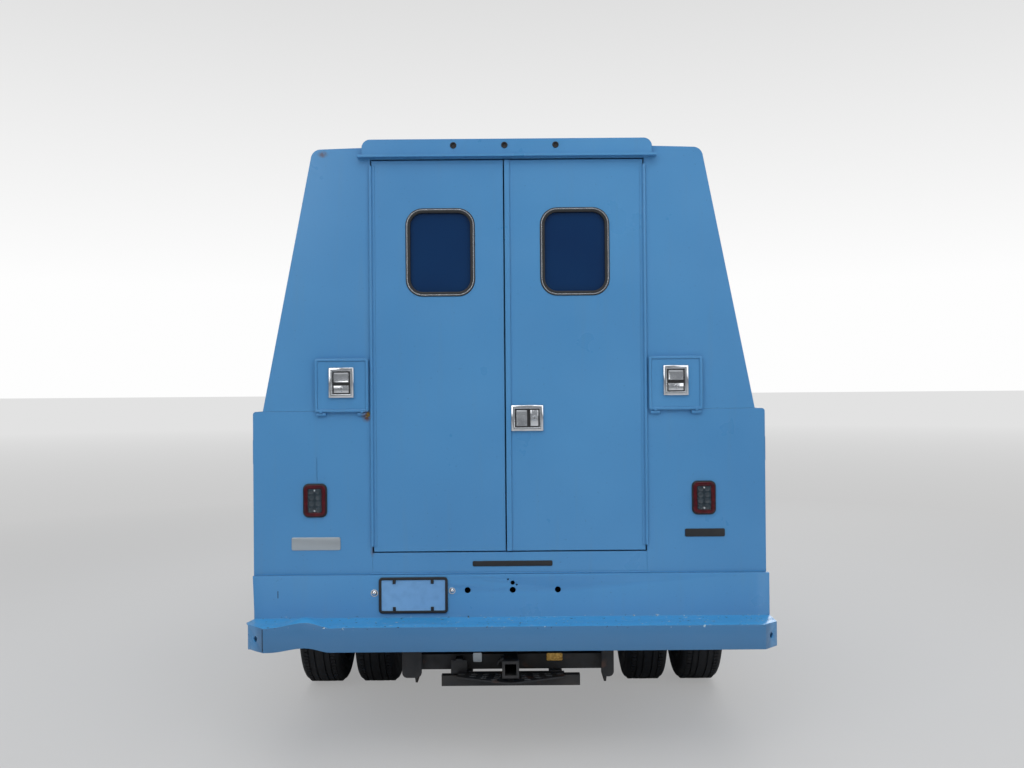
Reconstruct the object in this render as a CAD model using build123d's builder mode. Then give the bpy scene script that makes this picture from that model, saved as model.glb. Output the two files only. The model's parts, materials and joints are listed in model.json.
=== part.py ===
from build123d import *
from math import cos, hypot, radians, sin
import os

# Service truck: a dual-rear-wheel chassis cab with an enclosed, high-roof utility body.
# Millimetres. +Y is forward, +X is the vehicle's right, +Z is up. The ground is z = 0 and the
# origin lies in the middle of the overall length and width.

os.makedirs("parts", exist_ok=True)

# ---------------------------------------------------------------- layout along the truck
wheelbase = 3493.0
body_overhang = 1295.0        # rear axle to the body's rear face
bumper_reach = 215.0          # body's rear face to the bumper's rear face
front_overhang = 990.0
body_length = 2743.0
cab_gap = 76.0                # body to cab

overall_length = front_overhang + wheelbase + body_overhang + bumper_reach
y_nose = overall_length / 2
y_tail = -overall_length / 2
y_rear = y_tail + bumper_reach            # body's rear face
y_rear_axle = y_rear + body_overhang
y_front_axle = y_rear_axle + wheelbase
y_body_front = y_rear + body_length
y_cab_rear = y_body_front + cab_gap

# ---------------------------------------------------------------- clearances
door_gap = 6.0                # round every inset door
pin_clearance = 0.3           # running and seating clearance of pins, hubs and panes
swing_gap = 8.0               # round the cab doors and the bonnet

# ---------------------------------------------------------------- wheels
tyre_radius = 404.0
tyre_width = 235.0
tread_share = 0.74            # flat tread's share of the tyre's width
shoulder_drop = 26.0          # tread down to the fullest part of the shoulder
rim_radius = 216.0            # bead seat
rim_width = 165.0
rim_wall = 8.0
rim_flange = 14.0
disc_thickness = 12.0
disc_radius = 138.0           # flat mounting face of the wheel disc
disc_offset = 148.0           # wheel centre to the mounting face
hand_hole_radius = 17.0
hand_hole_count = 8
hub_radius = 62.0
hub_length = 96.0
spindle_radius = 32.0
twin_track = 1836.0           # between the twins' middle planes
front_track = 1748.0
kingpin_track = 1500.0
kingpin_radius = 18.0
yoke_half_width = 34.0        # knuckle's yoke, along the truck
yoke_reach = 62.0             # kingpin to the knuckle's face
yoke_thickness = 34.0
steer_arm_length = 150.0

# ---------------------------------------------------------------- chassis
rail_half_width = 432.0       # outer faces of the frame rails
rail_top = 740.0
rail_depth = 200.0
rail_flange = 70.0
rail_thickness = 8.0
rail_rear_inset = 30.0
member_height = 90.0
member_lift = 15.0             # above the middle of the rails
member_width = 70.0
member_wall = 8.0
axle_tube_radius = 46.0
diff_radius = 172.0
diff_depth = 190.0
pinion_radius = 66.0
pinion_reach = 250.0
spring_width = 74.0
spring_thickness = 42.0
spring_span = 1320.0
spring_rise = 78.0
front_spring_span = 1180.0
beam_height = 84.0
beam_width = 70.0
shaft_radius = 42.0

# ---------------------------------------------------------------- utility body
body_half_width = 1194.0
pack_inner = 640.0            # inner wall of the side packs
pack_bottom = 590.0
shoulder_height = 1612.0
shoulder_step = 46.0
roof_half_width = 908.0
roof_height = 2850.0
roof_crown = 16.0
wall = 36.0                   # upper walls, roof and front wall
pack_wall = 20.0
floor_height = 950.0
floor_thickness = 30.0
sill_bottom = 857.0
arch_radius = 540.0
arch_lip = 26.0               # rolled edge round each wheel arch
arch_flare = 12.0
rear_panel = 40.0             # thickness of the rear face
portal_depth = 62.0           # rear face to the back of the door stops
portal_stop = 26.0            # how far the stops reach into the doorway
side_door_thickness = 32.0
side_door_border = 44.0
side_hinge_radius = 6.0
side_hinge_length = 110.0
side_hinge_inset = 140.0      # door's corner to the hinge's middle
side_door_frame = 60.0        # solid border of the hollow-backed doors
side_door_sheet = 8.0

# ---------------------------------------------------------------- rear doors
doorway_half_width = 639.0
doorway_top = roof_height - 64
rear_door_thickness = 46.0
window_width = 317.0
window_height = 405.0
window_corner = 78.0
window_centre_x = 314.0
window_centre_z = doorway_top - 436
glass_thickness = 6.0
glass_set_back = 20.0         # rear panes in front of the rear face
hinge_radius = 9.0            # small rear doors
piano_radius = 7.0            # full-height hinges of the rear doors
piano_leaf = 20.0
astragal_width = 24.0
astragal_thickness = 7.0
small_door_size = 251.0
small_door_x = 777.0
small_door_z = 1733.0
small_door_lip = 18.0
small_door_thickness = 20.0
small_door_rim = 14.0         # raised border round the door's face
small_door_sink = 3.0
small_door_corner = 12.0
small_hinge_inset = 30.0
small_hinge_length = 44.0
small_hinge_strap = 24.0
header_half_width = 675.0
header_top = roof_height + 23
header_depth = 28.0
header_corner = 40.0
marker_radius = 14.0
marker_spacing = 237.5
marker_x = -11.0
marker_drop = 30.0            # header's top to the marker holes
drip_rail = 12.0              # gutter under the header
drip_reach = 20.0             # its ends past the header

# ---------------------------------------------------------------- rear bumper and hitch
bumper_half_width = 1203.0
bumper_top = 850.0
bumper_step_height = 653.0
bumper_bottom = 543.0
bumper_lip = 22.0             # upper face behind the body's rear face
bumper_plate = 6.0
bumper_cap = 66.0             # the angled corner at each end
bumper_wrap = 60.0            # end plates' reach along the body's sides
bumper_hole_radius = 14.0
bumper_peg_radius = 9.0
bumper_peg_z = 811.0
bumper_bracket_inset = 30.0   # brackets, from the rails' edges
bumper_hole_spacing = 209.5
bumper_hole_z = 778.0
bumper_hole_x = 12.0
hitch_half_width = 466.0
hitch_bar = 70.0
hitch_z = 440.0
receiver_size = 64.0
receiver_hole = 51.0
receiver_length = 240.0
pin_hole_radius = 8.0
pin_hole_inset = 72.0         # mouth to the cross pin
hitch_plate = 10.0
hitch_plate_reach = 90.0      # side plates behind and below the hitch bar
hitch_plate_length = 260.0    # hitch bar to the plates' front bolts
hitch_foot_left = 90.0        # width of the foot that faces the rear
hitch_foot_right = 56.0
hitch_foot_low = 384.0
hitch_foot_corner = 24.0
receiver_collar = 6.0
step_half_width = 319.0
tread_half_width = 247.0
step_z = 392.0

# ---------------------------------------------------------------- cab
cab_half_width = 1010.0
cab_length = 1605.0           # rear wall to the cowl
cab_roof = 1940.0
cab_crown = 14.0
cab_back_lean = 100.0         # cab's rear wall, above the belt
roof_edge = 100.0             # rounding of the cab roof's edges
belt_height = 1310.0
belt_tuck = 16.0              # window line inside the doors' fullest line
belt_roll = 60.0
rocker_height = 120.0         # rocker panels, and how far they tuck under
rocker_tuck = 30.0
rocker_bottom = 570.0
cab_floor = 820.0
cab_sill = 90.0               # rocker under the doors
cab_header = 70.0             # roof rail over the doors
window_sill = 30.0            # belt line to the door's window
quarter_panel = 130.0         # door's front edge to its window
screen_pillar_foot = 110.0
screen_pillar_head = 60.0
screen_corner = 40.0
back_window_half = 680.0
back_window_sill = 60.0
back_window_header = 160.0
cab_wall = 62.0
floor_plate = 36.0
cab_mount_size = 80.0
cab_mount_rear = 260.0        # cab's rear wall to its rear mounts
cab_mount_front = 330.0
cab_roof_half_width = 800.0
screen_rake = 640.0           # windscreen's top behind its foot
cab_door_front = 530.0        # door's front edge behind the front axle
cab_door_length = 1090.0
nose_height = 1235.0
cowl_height = 1320.0
bonnet_half_width = 800.0
skin = 26.0
cowl_lean = 40.0              # cowl's top ahead of its foot at the floor
bonnet_pin_radius = 8.0
bonnet_pin_x = 300.0
bonnet_pin_length = 90.0
bonnet_pin_drop = 4.0         # below the cowl's top edge
front_arch_radius = 486.0
front_arch_lip = 22.0
front_arch_flare = 10.0
front_arch_lift = 30.0        # arch centre above the wheel's
nose_inset = 95.0             # grille face behind the bumper's face
front_bumper_low = 520.0
front_bumper_high = 850.0
front_bumper_wrap = 330.0     # how far the bumper reaches round the corners

left, right = -1, 1
sides = ((left, "left"), (right, "right"))


def write(piece, label):
    """Labels a finished piece and writes its file."""
    piece.label = label
    export_step(piece, f"parts/{label}.step")


def on_side(piece, side):
    """The piece as built for the right side, or its mirror image for the left."""
    return piece if side == right else mirror(piece, about=Plane.YZ)


def block(x_range, y_range, z_range, mode=Mode.ADD):
    """A box given by its (low, high) limits along each axis."""
    limits = (x_range, y_range, z_range)
    centre = tuple((low + high) / 2 for low, high in limits)
    size = tuple(high - low for low, high in limits)
    with Locations(centre):
        Box(*size, mode=mode)


def hinge(pin, reach, seat, length, radius, strap=34.0, plate=4.0, sink=1.0):
    """A hinge knuckle about a pin, with a strap that is let into the door by sink.

    reach points from the pin to the door, seat from the pin to the face behind the knuckle."""
    run = Vector(*reach).cross(Vector(*seat))
    face = radius + pin_clearance
    with Locations(Plane(origin=pin, x_dir=reach, z_dir=run)):
        Cylinder(radius, length)
        with Locations((strap / 2, face - plate / 2 + sink, 0)):
            Box(strap, plate, length)


# ================================================================ wheels
def tyre_section(plane):
    """Section of a tyre: a flat tread, sloped shoulders, and side walls fullest at half height."""
    half = tyre_width / 2
    tread = half * tread_share
    bead = rim_width / 2 - rim_wall - pin_clearance
    bead_radius = rim_radius + rim_flange + 2
    wall_height = tyre_radius - bead_radius
    right_side = (
        (bead, rim_radius), (bead, bead_radius),
        (half * 0.97, bead_radius + wall_height * 0.28), (half, bead_radius + wall_height * 0.52),
        (half * 0.94, tyre_radius - shoulder_drop), (tread, tyre_radius))
    left_side = tuple((-across, out) for across, out in reversed(right_side))
    with BuildSketch(plane) as section:
        with BuildLine():
            Polyline(*right_side, *left_side, close=True)
        make_face()
    return section.sketch


def axle_plane(x, y):
    """A plane whose local X runs along the axle and whose local Y points up."""
    return Plane(origin=(x, y, tyre_radius), x_dir=(1, 0, 0), z_dir=(0, -1, 0))


def axle_line(x, y):
    return Axis((x, y, tyre_radius), (1, 0, 0))


def tyre(centres, y):
    with BuildPart() as ring:
        for x in centres:
            revolve(tyre_section(axle_plane(x, y)), axis=axle_line(x, y))
    return ring.part


def rim_section(plane, facing):
    """Half section of a rim: the barrel with its flanges, and the dished disc."""
    half = rim_width / 2
    outer = rim_radius - pin_clearance
    inner = outer - rim_wall
    cone = half * 0.35
    flange = rim_radius + rim_flange
    disc_outer = disc_offset + disc_thickness / 2
    disc_inner = disc_offset - disc_thickness / 2
    with BuildSketch(plane) as section:
        with BuildLine():
            Polyline(
                (-half, flange), (-half + rim_wall, flange), (-half + rim_wall, outer),
                (half - rim_wall, outer), (half - rim_wall, flange), (half, flange),
                (half, inner), (-half, inner), close=True)
        make_face()
        with BuildLine():
            Polyline(
                (facing * cone, inner + 1), (facing * (cone + rim_wall), inner + 1),
                (facing * disc_outer, disc_radius), (facing * disc_outer, hub_radius - 10),
                (facing * disc_inner, hub_radius - 10), (facing * disc_inner, disc_radius - 6),
                close=True)
        make_face()
    return section.sketch


def hand_holes(x, y, facing):
    middle = (disc_radius + rim_radius) / 2 - 8
    centre = (x + facing * disc_offset * 0.8, y, tyre_radius)
    with Locations(Plane(origin=centre, z_dir=(1, 0, 0))):
        with PolarLocations(middle, hand_hole_count):
            Cylinder(hand_hole_radius, 2 * disc_offset * 0.6, mode=Mode.SUBTRACT)


def rim(wheels, y, hub_x, hub_facing):
    """Rims at (x, facing) on one hub whose inner end is bored for the spindle."""
    with BuildPart() as wheel:
        for x, facing in wheels:
            revolve(rim_section(axle_plane(x, y), facing), axis=axle_line(x, y))
        for x, facing in wheels:
            hand_holes(x, y, facing)
        with Locations(Plane(origin=(hub_x, y, tyre_radius), z_dir=(hub_facing, 0, 0))):
            Cylinder(hub_radius, hub_length)
            bore = spindle_radius + pin_clearance
            with Locations((0, 0, -hub_length / 4)):
                Cylinder(bore, hub_length / 2, mode=Mode.SUBTRACT)
    return wheel.part


front_wheel_x = front_track / 2
front_hub_x = front_wheel_x + disc_offset - hub_length / 2 + disc_thickness
front_tyre = tyre((front_wheel_x,), y_front_axle)
front_rim = rim(((front_wheel_x, right),), y_front_axle, front_hub_x, right)

twin_x = twin_track / 2
twin_half = disc_offset + disc_thickness / 2
rear_tyres = tyre((twin_x - twin_half, twin_x + twin_half), y_rear_axle)
twin_wheels = ((twin_x - twin_half, right), (twin_x + twin_half, left))
rear_rims = rim(twin_wheels, y_rear_axle, twin_x, right)

for side, name in sides:
    write(on_side(front_tyre, side), f"front_tyre_{name}")
    write(on_side(front_rim, side), f"front_rim_{name}")
    write(on_side(rear_tyres, side), f"rear_tyres_{name}")
    write(on_side(rear_rims, side), f"rear_rims_{name}")

# ================================================================ axles, springs, knuckles
y_cowl = y_cab_rear + cab_length
kingpin_x = kingpin_track / 2
spindle_end = front_hub_x
rail_bottom = rail_top - rail_depth


def leaf_spring(x, y, z_seat, span, rise):
    """A curved leaf pack on a seat: an arc in side view, as wide as the leaves."""
    tip = spring_thickness / 2
    rear_y, front_y = y - span / 2, y + span / 2
    with BuildSketch(Plane.YZ.offset(x - spring_width / 2)) as leaves:
        with BuildLine():
            low = ThreePointArc((rear_y, z_seat + rise), (y, z_seat), (front_y, z_seat + rise))
            high = ThreePointArc((rear_y, z_seat + rise + tip), (y, z_seat + spring_thickness),
                                 (front_y, z_seat + rise + tip))
            Line(low @ 0, high @ 0)
            Line(low @ 1, high @ 1)
        make_face()
    extrude(leaves.sketch, amount=spring_width)


rear_spring_x = rail_half_width + rail_flange
hanger_width = 40.0
hanger_thickness = 30.0
eye_radius = 26.0
perch_height = 22.0
rear_spring_seat = tyre_radius + axle_tube_radius + perch_height
rear_eye_z = rear_spring_seat + spring_rise + spring_thickness / 4

with BuildPart() as rear_axle:
    with Locations(Plane(origin=(0, y_rear_axle, tyre_radius), z_dir=(1, 0, 0))):
        Cylinder(axle_tube_radius, 2 * (twin_x - hub_length / 2 - 2))
        Cylinder(spindle_radius, 2 * twin_x - 2)
    with Locations(Plane(origin=(0, y_rear_axle, tyre_radius), z_dir=(0, 1, 0))):
        Cylinder(diff_radius, diff_depth)
        chamfer(rear_axle.edges().filter_by(GeomType.CIRCLE).filter_by(
            lambda edge: edge.radius == diff_radius), diff_depth / 4)
        with Locations((0, 0, pinion_reach / 2)):
            Cylinder(pinion_radius, pinion_reach)
    for side in (left, right):
        with Locations(Plane(origin=(side * diff_radius, y_rear_axle, tyre_radius), z_dir=(side, 0, 0))):
            Cone(diff_depth / 2.4, axle_tube_radius, diff_radius)
    for side in (left, right):
        x = side * rear_spring_x
        half = spring_width / 2
        block((x - half, x + half), (y_rear_axle - 60, y_rear_axle + 60),
              (tyre_radius, rear_spring_seat + 2))
        leaf_spring(x, y_rear_axle, rear_spring_seat, spring_span, spring_rise)
        for end in (-1, 1):
            y_eye = y_rear_axle + end * spring_span / 2
            with Locations(Plane(origin=(x, y_eye, rear_eye_z), z_dir=(1, 0, 0))):
                Cylinder(eye_radius, spring_width)
            inner = side * rail_half_width
            outer = side * (rail_half_width + rail_flange + half)
            block(sorted((inner, outer)), (y_eye - hanger_width / 2, y_eye + hanger_width / 2),
                  (rear_eye_z, rail_top - 60))
write(rear_axle.part, "rear_axle")

front_spring_x = rail_half_width - spring_width / 2
front_spring_seat = tyre_radius + beam_height / 2 - 4
front_spring_rise = rail_bottom - front_spring_seat - spring_thickness / 2 - 12

with BuildPart() as front_axle:
    beam_y = (y_front_axle - beam_width / 2, y_front_axle + beam_width / 2)
    beam_z = (tyre_radius - beam_height / 2, tyre_radius + beam_height / 2)
    block((-kingpin_x, kingpin_x), beam_y, beam_z)
    with Locations((-kingpin_x, y_front_axle, tyre_radius), (kingpin_x, y_front_axle, tyre_radius)):
        Cylinder(beam_width / 2, beam_height)
        Cylinder(kingpin_radius + pin_clearance, 2 * beam_height, mode=Mode.SUBTRACT)
    for side in (left, right):
        x = side * front_spring_x
        leaf_spring(x, y_front_axle, front_spring_seat, front_spring_span, front_spring_rise)
        for end in (-1, 1):
            y_eye = y_front_axle + end * (front_spring_span / 2 - 20)
            block((x - spring_width / 2, x + spring_width / 2), (y_eye - 20, y_eye + 20),
                  (front_spring_seat + front_spring_rise - 8, rail_bottom - pin_clearance))
write(front_axle.part, "front_axle")

yoke_height = beam_height / 2 + pin_clearance
with BuildPart() as knuckle:
    for up in (-1, 1):
        z_low = tyre_radius + up * yoke_height
        z_high = z_low + up * yoke_thickness
        block((kingpin_x - yoke_half_width, kingpin_x + yoke_reach),
              (y_front_axle - yoke_half_width, y_front_axle + yoke_half_width), sorted((z_low, z_high)))
    total = yoke_height + yoke_thickness
    block((kingpin_x + yoke_reach - 14, kingpin_x + yoke_reach + 16),
          (y_front_axle - 50, y_front_axle + 50), (tyre_radius - total, tyre_radius + total))
    with Locations((kingpin_x, y_front_axle, tyre_radius)):
        Cylinder(kingpin_radius, 2 * total)
    spindle_start = kingpin_x + yoke_reach
    spindle_length = spindle_end - spindle_start
    spindle_middle = (spindle_start + spindle_length / 2, y_front_axle, tyre_radius)
    with Locations(Plane(origin=spindle_middle, z_dir=(1, 0, 0))):
        Cylinder(spindle_radius, spindle_length - 2)
    arm_z = tyre_radius - total
    block((kingpin_x - yoke_half_width, kingpin_x + 10), (y_front_axle - steer_arm_length, y_front_axle),
          (arm_z, arm_z + yoke_thickness - 4))
for side, name in sides:
    write(on_side(knuckle.part, side), f"knuckle_{name}")

# ================================================================ frame
y_frame_rear = y_rear + rail_rear_inset
bumper_shell = 70.0
y_frame_front = y_nose - bumper_shell

with BuildPart() as rail:
    with BuildSketch(Plane.XZ.offset(-y_frame_front)):
        with BuildLine():
            web = rail_half_width - rail_thickness
            lip = rail_half_width - rail_flange
            Polyline(
                (rail_half_width, rail_top), (lip, rail_top), (lip, rail_top - rail_thickness),
                (web, rail_top - rail_thickness), (web, rail_bottom + rail_thickness),
                (lip, rail_bottom + rail_thickness), (lip, rail_bottom), (rail_half_width, rail_bottom),
                close=True)
        make_face()
    extrude(amount=y_frame_front - y_frame_rear)
with BuildPart() as frame_rails:
    add(rail.part)
    mirror(about=Plane.YZ)
write(frame_rails.part, "frame_rails")

member_behind_cab = 420.0
member_under_cab = 400.0
member_behind_nose = 260.0
tank_length = 640.0
tank_y = y_rear_axle - 780
member_places = (
    y_frame_rear + member_width / 2,
    tank_y + tank_length / 2 + member_width,
    y_rear_axle + spring_span / 2,
    y_cab_rear - member_behind_cab,
    y_cab_rear + member_under_cab,
    y_nose - member_behind_nose,
)
with BuildPart() as crossmembers:
    middle = (rail_top + rail_bottom) / 2 + member_lift
    for y in member_places:
        half = member_height / 2
        reach = rail_half_width - rail_thickness
        block((-reach, reach), (y - member_width / 2, y + member_width / 2), (middle - half, middle + half))
        block((-reach, reach), (y - member_width / 2, y + member_width / 2 - member_wall),
              (middle - half + member_wall, middle + half - member_wall), mode=Mode.SUBTRACT)
write(crossmembers.part, "crossmembers")

# ================================================================ engine, driveline, tank, exhaust
engine_length = 820.0
engine_width = 560.0
engine_bottom = 560.0
engine_top = 1130.0
engine_shoulder = 90.0
engine_foot = 80.0            # mounts on the rails, along the truck
engine_foot_place = 120.0     # ahead of the front axle
engine_foot_height = 60.0
y_engine_rear = y_cowl + 30
with BuildPart() as engine:
    block((-engine_width / 2, engine_width / 2), (y_engine_rear, y_engine_rear + engine_length),
          (engine_bottom, engine_top))
    chamfer(engine.edges().filter_by(Axis.Y).group_by(Axis.Z)[-1], engine_shoulder)
    y_foot = y_front_axle + engine_foot_place
    block((-rail_half_width + rail_thickness, rail_half_width - rail_thickness),
          (y_foot, y_foot + engine_foot), (rail_top, rail_top + engine_foot_height))
write(engine.part, "engine")

gearbox_length = 700.0
bell_radius = 140.0           # where the gearbox meets the engine
gearbox_tail_radius = 80.0
shaft_z = 600.0
y_gearbox_rear = y_engine_rear - gearbox_length
with BuildPart() as driveline:
    with Locations(Plane(origin=(0, y_engine_rear - gearbox_length / 2, shaft_z), z_dir=(0, -1, 0))):
        Cone(bell_radius, gearbox_tail_radius, gearbox_length)
    start = Vector(0, y_gearbox_rear + 10, shaft_z)
    finish = Vector(0, y_rear_axle + pinion_reach + 12, tyre_radius)
    shaft_line = finish - start
    with Locations(Plane(origin=(start + finish) * 0.5, z_dir=shaft_line)):
        Cylinder(shaft_radius, shaft_line.length)
    with Locations(Plane(origin=finish, z_dir=(0, 1, 0))):
        with Locations((0, 0, -6 + pin_clearance / 2)):
            Cylinder(pinion_radius - 6, 12 - pin_clearance)
write(driveline.part, "driveline")

tank_width = 700.0
tank_bottom = 470.0
tank_top = 720.0
tank_corner = 50.0
strap_width = 50.0
with BuildPart() as fuel_tank:
    block((-tank_width / 2, tank_width / 2), (tank_y - tank_length / 2, tank_y + tank_length / 2),
          (tank_bottom, tank_top))
    fillet(fuel_tank.edges().filter_by(Axis.X), tank_corner)
    strap_reach = rail_half_width - rail_flange - pin_clearance
    for end in (-1, 1):
        y = tank_y + end * tank_length / 4
        block((-strap_reach, strap_reach), (y - strap_width / 2, y + strap_width / 2),
              (tank_top - 2, rail_top))
write(fuel_tank.part, "fuel_tank")

exhaust_radius = 38.0
muffler_radius = 110.0
muffler_length = 560.0
exhaust_x = 560.0
exhaust_z = 640.0
muffler_place = 480.0         # cab's rear wall to the muffler's middle
pipe_lap = 10.0               # pipe end inside the muffler
tail_run = 360.0              # cab's rear wall back to the tailpipe's first bend
tail_reach = 330.0            # how far the tailpipe turns out
tail_drop = 150.0
tail_bend = 90.0
y_muffler = y_cab_rear + muffler_place
y_pipe = y_muffler - muffler_length / 2 + pipe_lap
with BuildPart() as exhaust:
    with Locations(Plane(origin=(exhaust_x, y_muffler, exhaust_z), z_dir=(0, 1, 0))):
        Cylinder(muffler_radius, muffler_length)
    with BuildLine():
        FilletPolyline(
            (exhaust_x, y_pipe, exhaust_z),
            (exhaust_x, y_cab_rear - tail_run, exhaust_z),
            (exhaust_x, y_cab_rear - tail_run * 1.7, exhaust_z - tail_drop * 0.87),
            (exhaust_x + tail_reach, y_cab_rear - tail_run * 2, exhaust_z - tail_drop),
            radius=tail_bend)
    with BuildSketch(Plane(origin=(exhaust_x, y_pipe, exhaust_z), z_dir=(0, -1, 0))):
        Circle(exhaust_radius)
    sweep()
    block((rail_half_width, exhaust_x), (y_muffler - hanger_thickness, y_muffler + hanger_thickness),
          (exhaust_z + pipe_lap, exhaust_z + pipe_lap + hanger_width))
write(exhaust.part, "exhaust")

# ================================================================ rear bumper, hitch, step
with BuildPart() as rear_bumper:
    top_y = y_rear - 1
    face_y = y_rear - bumper_lip
    bumper_middle = (bumper_top + bumper_step_height) / 2
    with BuildSketch(Plane.YZ.offset(-bumper_half_width)):
        with BuildLine():
            Polyline(
                (top_y, bumper_top), (face_y, bumper_top), (face_y, bumper_step_height),
                (y_tail, bumper_step_height), (y_tail, bumper_bottom),
                (y_tail + bumper_plate, bumper_bottom),
                (y_tail + bumper_plate, bumper_step_height - bumper_plate),
                (face_y + bumper_plate, bumper_step_height - bumper_plate),
                (face_y + bumper_plate, bumper_top - bumper_plate), (top_y, bumper_top - bumper_plate),
                close=True)
        make_face()
    extrude(amount=2 * bumper_half_width)
    for side in (left, right):
        with BuildSketch(Plane.YZ.offset(side * (bumper_half_width - bumper_plate / 2) - bumper_plate / 2)):
            with BuildLine():
                Polyline((y_tail, bumper_step_height), (y_tail, bumper_bottom),
                         (face_y + bumper_wrap, bumper_bottom), (top_y, bumper_middle), (top_y, bumper_top),
                         (face_y, bumper_top), (face_y, bumper_step_height), close=True)
            make_face()
        extrude(amount=bumper_plate)
        with BuildSketch(Plane.XY.offset(bumper_bottom - 1)):
            with BuildLine():
                corner = side * bumper_half_width
                Polyline((corner, y_tail), (corner - side * bumper_cap, y_tail),
                         (corner, y_tail + bumper_cap), close=True)
            make_face()
        extrude(amount=bumper_top, mode=Mode.SUBTRACT)
        with BuildSketch(Plane.XY.offset(bumper_bottom)):
            with BuildLine():
                slant = bumper_plate * 1.42
                Polyline((corner - side * bumper_cap, y_tail), (corner, y_tail + bumper_cap),
                         (corner, y_tail + bumper_cap + slant),
                         (corner - side * (bumper_cap + slant), y_tail), close=True)
            make_face()
        extrude(amount=bumper_step_height - bumper_bottom)
        place = (corner - side * bumper_cap / 2, y_tail + bumper_cap / 2,
                 (bumper_step_height + bumper_bottom) / 2)
        with Locations(Plane(origin=place, z_dir=(side, -1, 0))):
            Cylinder(bumper_hole_radius, 4 * bumper_plate, mode=Mode.SUBTRACT)
    for index in (-1, 0, 1):
        place = (bumper_hole_x + index * bumper_hole_spacing, face_y, bumper_hole_z)
        with Locations(Plane(origin=place, z_dir=(0, -1, 0))):
            Cylinder(bumper_hole_radius, 4 * bumper_plate, mode=Mode.SUBTRACT)
    with Locations(Plane(origin=(bumper_hole_x, face_y, bumper_peg_z), z_dir=(0, -1, 0))):
        Cylinder(bumper_peg_radius, 4 * bumper_plate, mode=Mode.SUBTRACT)
    bracket_y = y_frame_rear - pin_clearance
    for side in (left, right):
        x = side * (rail_half_width - rail_flange / 2)
        block((x - rail_flange / 2, x + rail_flange / 2), (face_y + bumper_plate - 1, bracket_y),
              (rail_bottom + bumper_bracket_inset, rail_top - bumper_bracket_inset))
write(rear_bumper.part, "rear_bumper")

hitch_y = y_rear + 40
with BuildPart() as hitch:
    block((-hitch_half_width, hitch_half_width), (hitch_y - hitch_bar / 2, hitch_y + hitch_bar / 2),
          (hitch_z - hitch_bar / 2, hitch_z + hitch_bar / 2))
    for side in (left, right):
        x = side * (rail_half_width + pin_clearance)
        with BuildSketch(Plane.YZ.offset(min(x, x + side * hitch_plate))):
            with BuildLine():
                plate_rear = hitch_y - hitch_plate_reach
                plate_front = hitch_y + hitch_plate_length
                plate_low = hitch_z - hitch_plate_reach
                plate_top = rail_bottom + rail_depth * 0.7
                Polyline((plate_rear, hitch_foot_low + 2), (plate_rear + hitch_bar / 2, plate_low),
                         (hitch_y + hitch_plate_reach, plate_low),
                         (plate_front, rail_bottom + hitch_plate), (plate_front, plate_top),
                         (hitch_y, plate_top), (plate_rear, rail_bottom), close=True)
            make_face()
        extrude(amount=hitch_plate)
        foot = hitch_foot_left if side == left else hitch_foot_right
        with BuildSketch(Plane.XZ.offset(-plate_rear)) as foot_outline:
            with Locations((x + side * foot / 4, (hitch_foot_low + rail_bottom) / 2)):
                Rectangle(foot, rail_bottom - hitch_foot_low)
            fillet(foot_outline.vertices().group_by(Axis.Y)[0], hitch_foot_corner)
        extrude(amount=hitch_plate)
    receiver_z = hitch_z + 16
    y_mouth = hitch_y - receiver_length
    half = receiver_size / 2
    block((-half, half), (y_mouth, hitch_y), (receiver_z - half, receiver_z + half))
    rim_half = half + receiver_collar
    block((-rim_half, rim_half), (y_mouth, y_mouth + 4 * receiver_collar),
          (receiver_z - rim_half, receiver_z + rim_half))
    half = receiver_hole / 2
    block((-half, half), (y_mouth - 1, hitch_y - hitch_bar / 2),
          (receiver_z - half, receiver_z + half), mode=Mode.SUBTRACT)
    with Locations(Plane(origin=(0, y_mouth + pin_hole_inset, receiver_z), z_dir=(1, 0, 0))):
        Cylinder(pin_hole_radius, 2 * receiver_size, mode=Mode.SUBTRACT)
write(hitch.part, "hitch")

tread_drop = 48.0
tread_depth = 110.0           # the tread's straight sides, behind the hitch bar
tread_plate = 8.0
step_arm = 20.0               # hitch bar to the step
step_strap = 60.0
step_thickness = 12.0
with BuildPart() as rear_step:
    step_front = hitch_y - hitch_bar / 2
    with BuildSketch(Plane.XY.offset(step_z)):
        with BuildLine():
            Polyline((-tread_half_width, step_front - step_arm), (-tread_half_width, step_front - tread_depth),
                     (0, y_tail + bumper_plate), (tread_half_width, step_front - tread_depth),
                     (tread_half_width, step_front - step_arm), close=True)
        make_face()
    extrude(amount=tread_plate)
    block((-step_half_width, step_half_width), (step_front - 3 * step_arm, step_front - step_arm),
          (step_z - tread_drop, step_z))
    arm_top = hitch_z - hitch_bar / 2 - pin_clearance
    for side in (left, right):
        x = side * (tread_half_width - 2 * step_arm)
        arm = (x - step_strap / 2, x + step_strap / 2)
        block(arm, (step_front - step_arm, hitch_y + hitch_bar / 2), (arm_top - step_thickness, arm_top))
        block(arm, (step_front - step_arm - step_thickness, step_front - step_arm + 1),
              (step_z - tread_drop, arm_top))
write(rear_step.part, "rear_step")

# ================================================================ utility body: floor and side packs
sill_height = 60.0
joist_inset = 150.0           # ends of the floor to the first joists
joist_width = 50.0
with BuildPart() as body_floor:
    inner = pack_inner - pin_clearance
    y_portal = y_rear + portal_depth + pin_clearance
    block((-inner, inner), (y_portal, y_body_front - wall - pin_clearance),
          (floor_height - floor_thickness, floor_height))
    count = 7
    pitch = (body_length - 2 * joist_inset) / (count - 1)
    for index in range(count):
        y = y_rear + joist_inset + index * pitch
        block((-inner, inner), (y - joist_width / 2, y + joist_width / 2),
              (rail_top + sill_height, floor_height - floor_thickness + 1))
    for side in (left, right):
        x = side * (rail_half_width - rail_flange / 2)
        block((x - rail_flange / 2, x + rail_flange / 2), (y_portal + 10, y_body_front - wall - 10),
              (rail_top + pin_clearance, rail_top + sill_height + 1))
write(body_floor.part, "body_floor")

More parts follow.
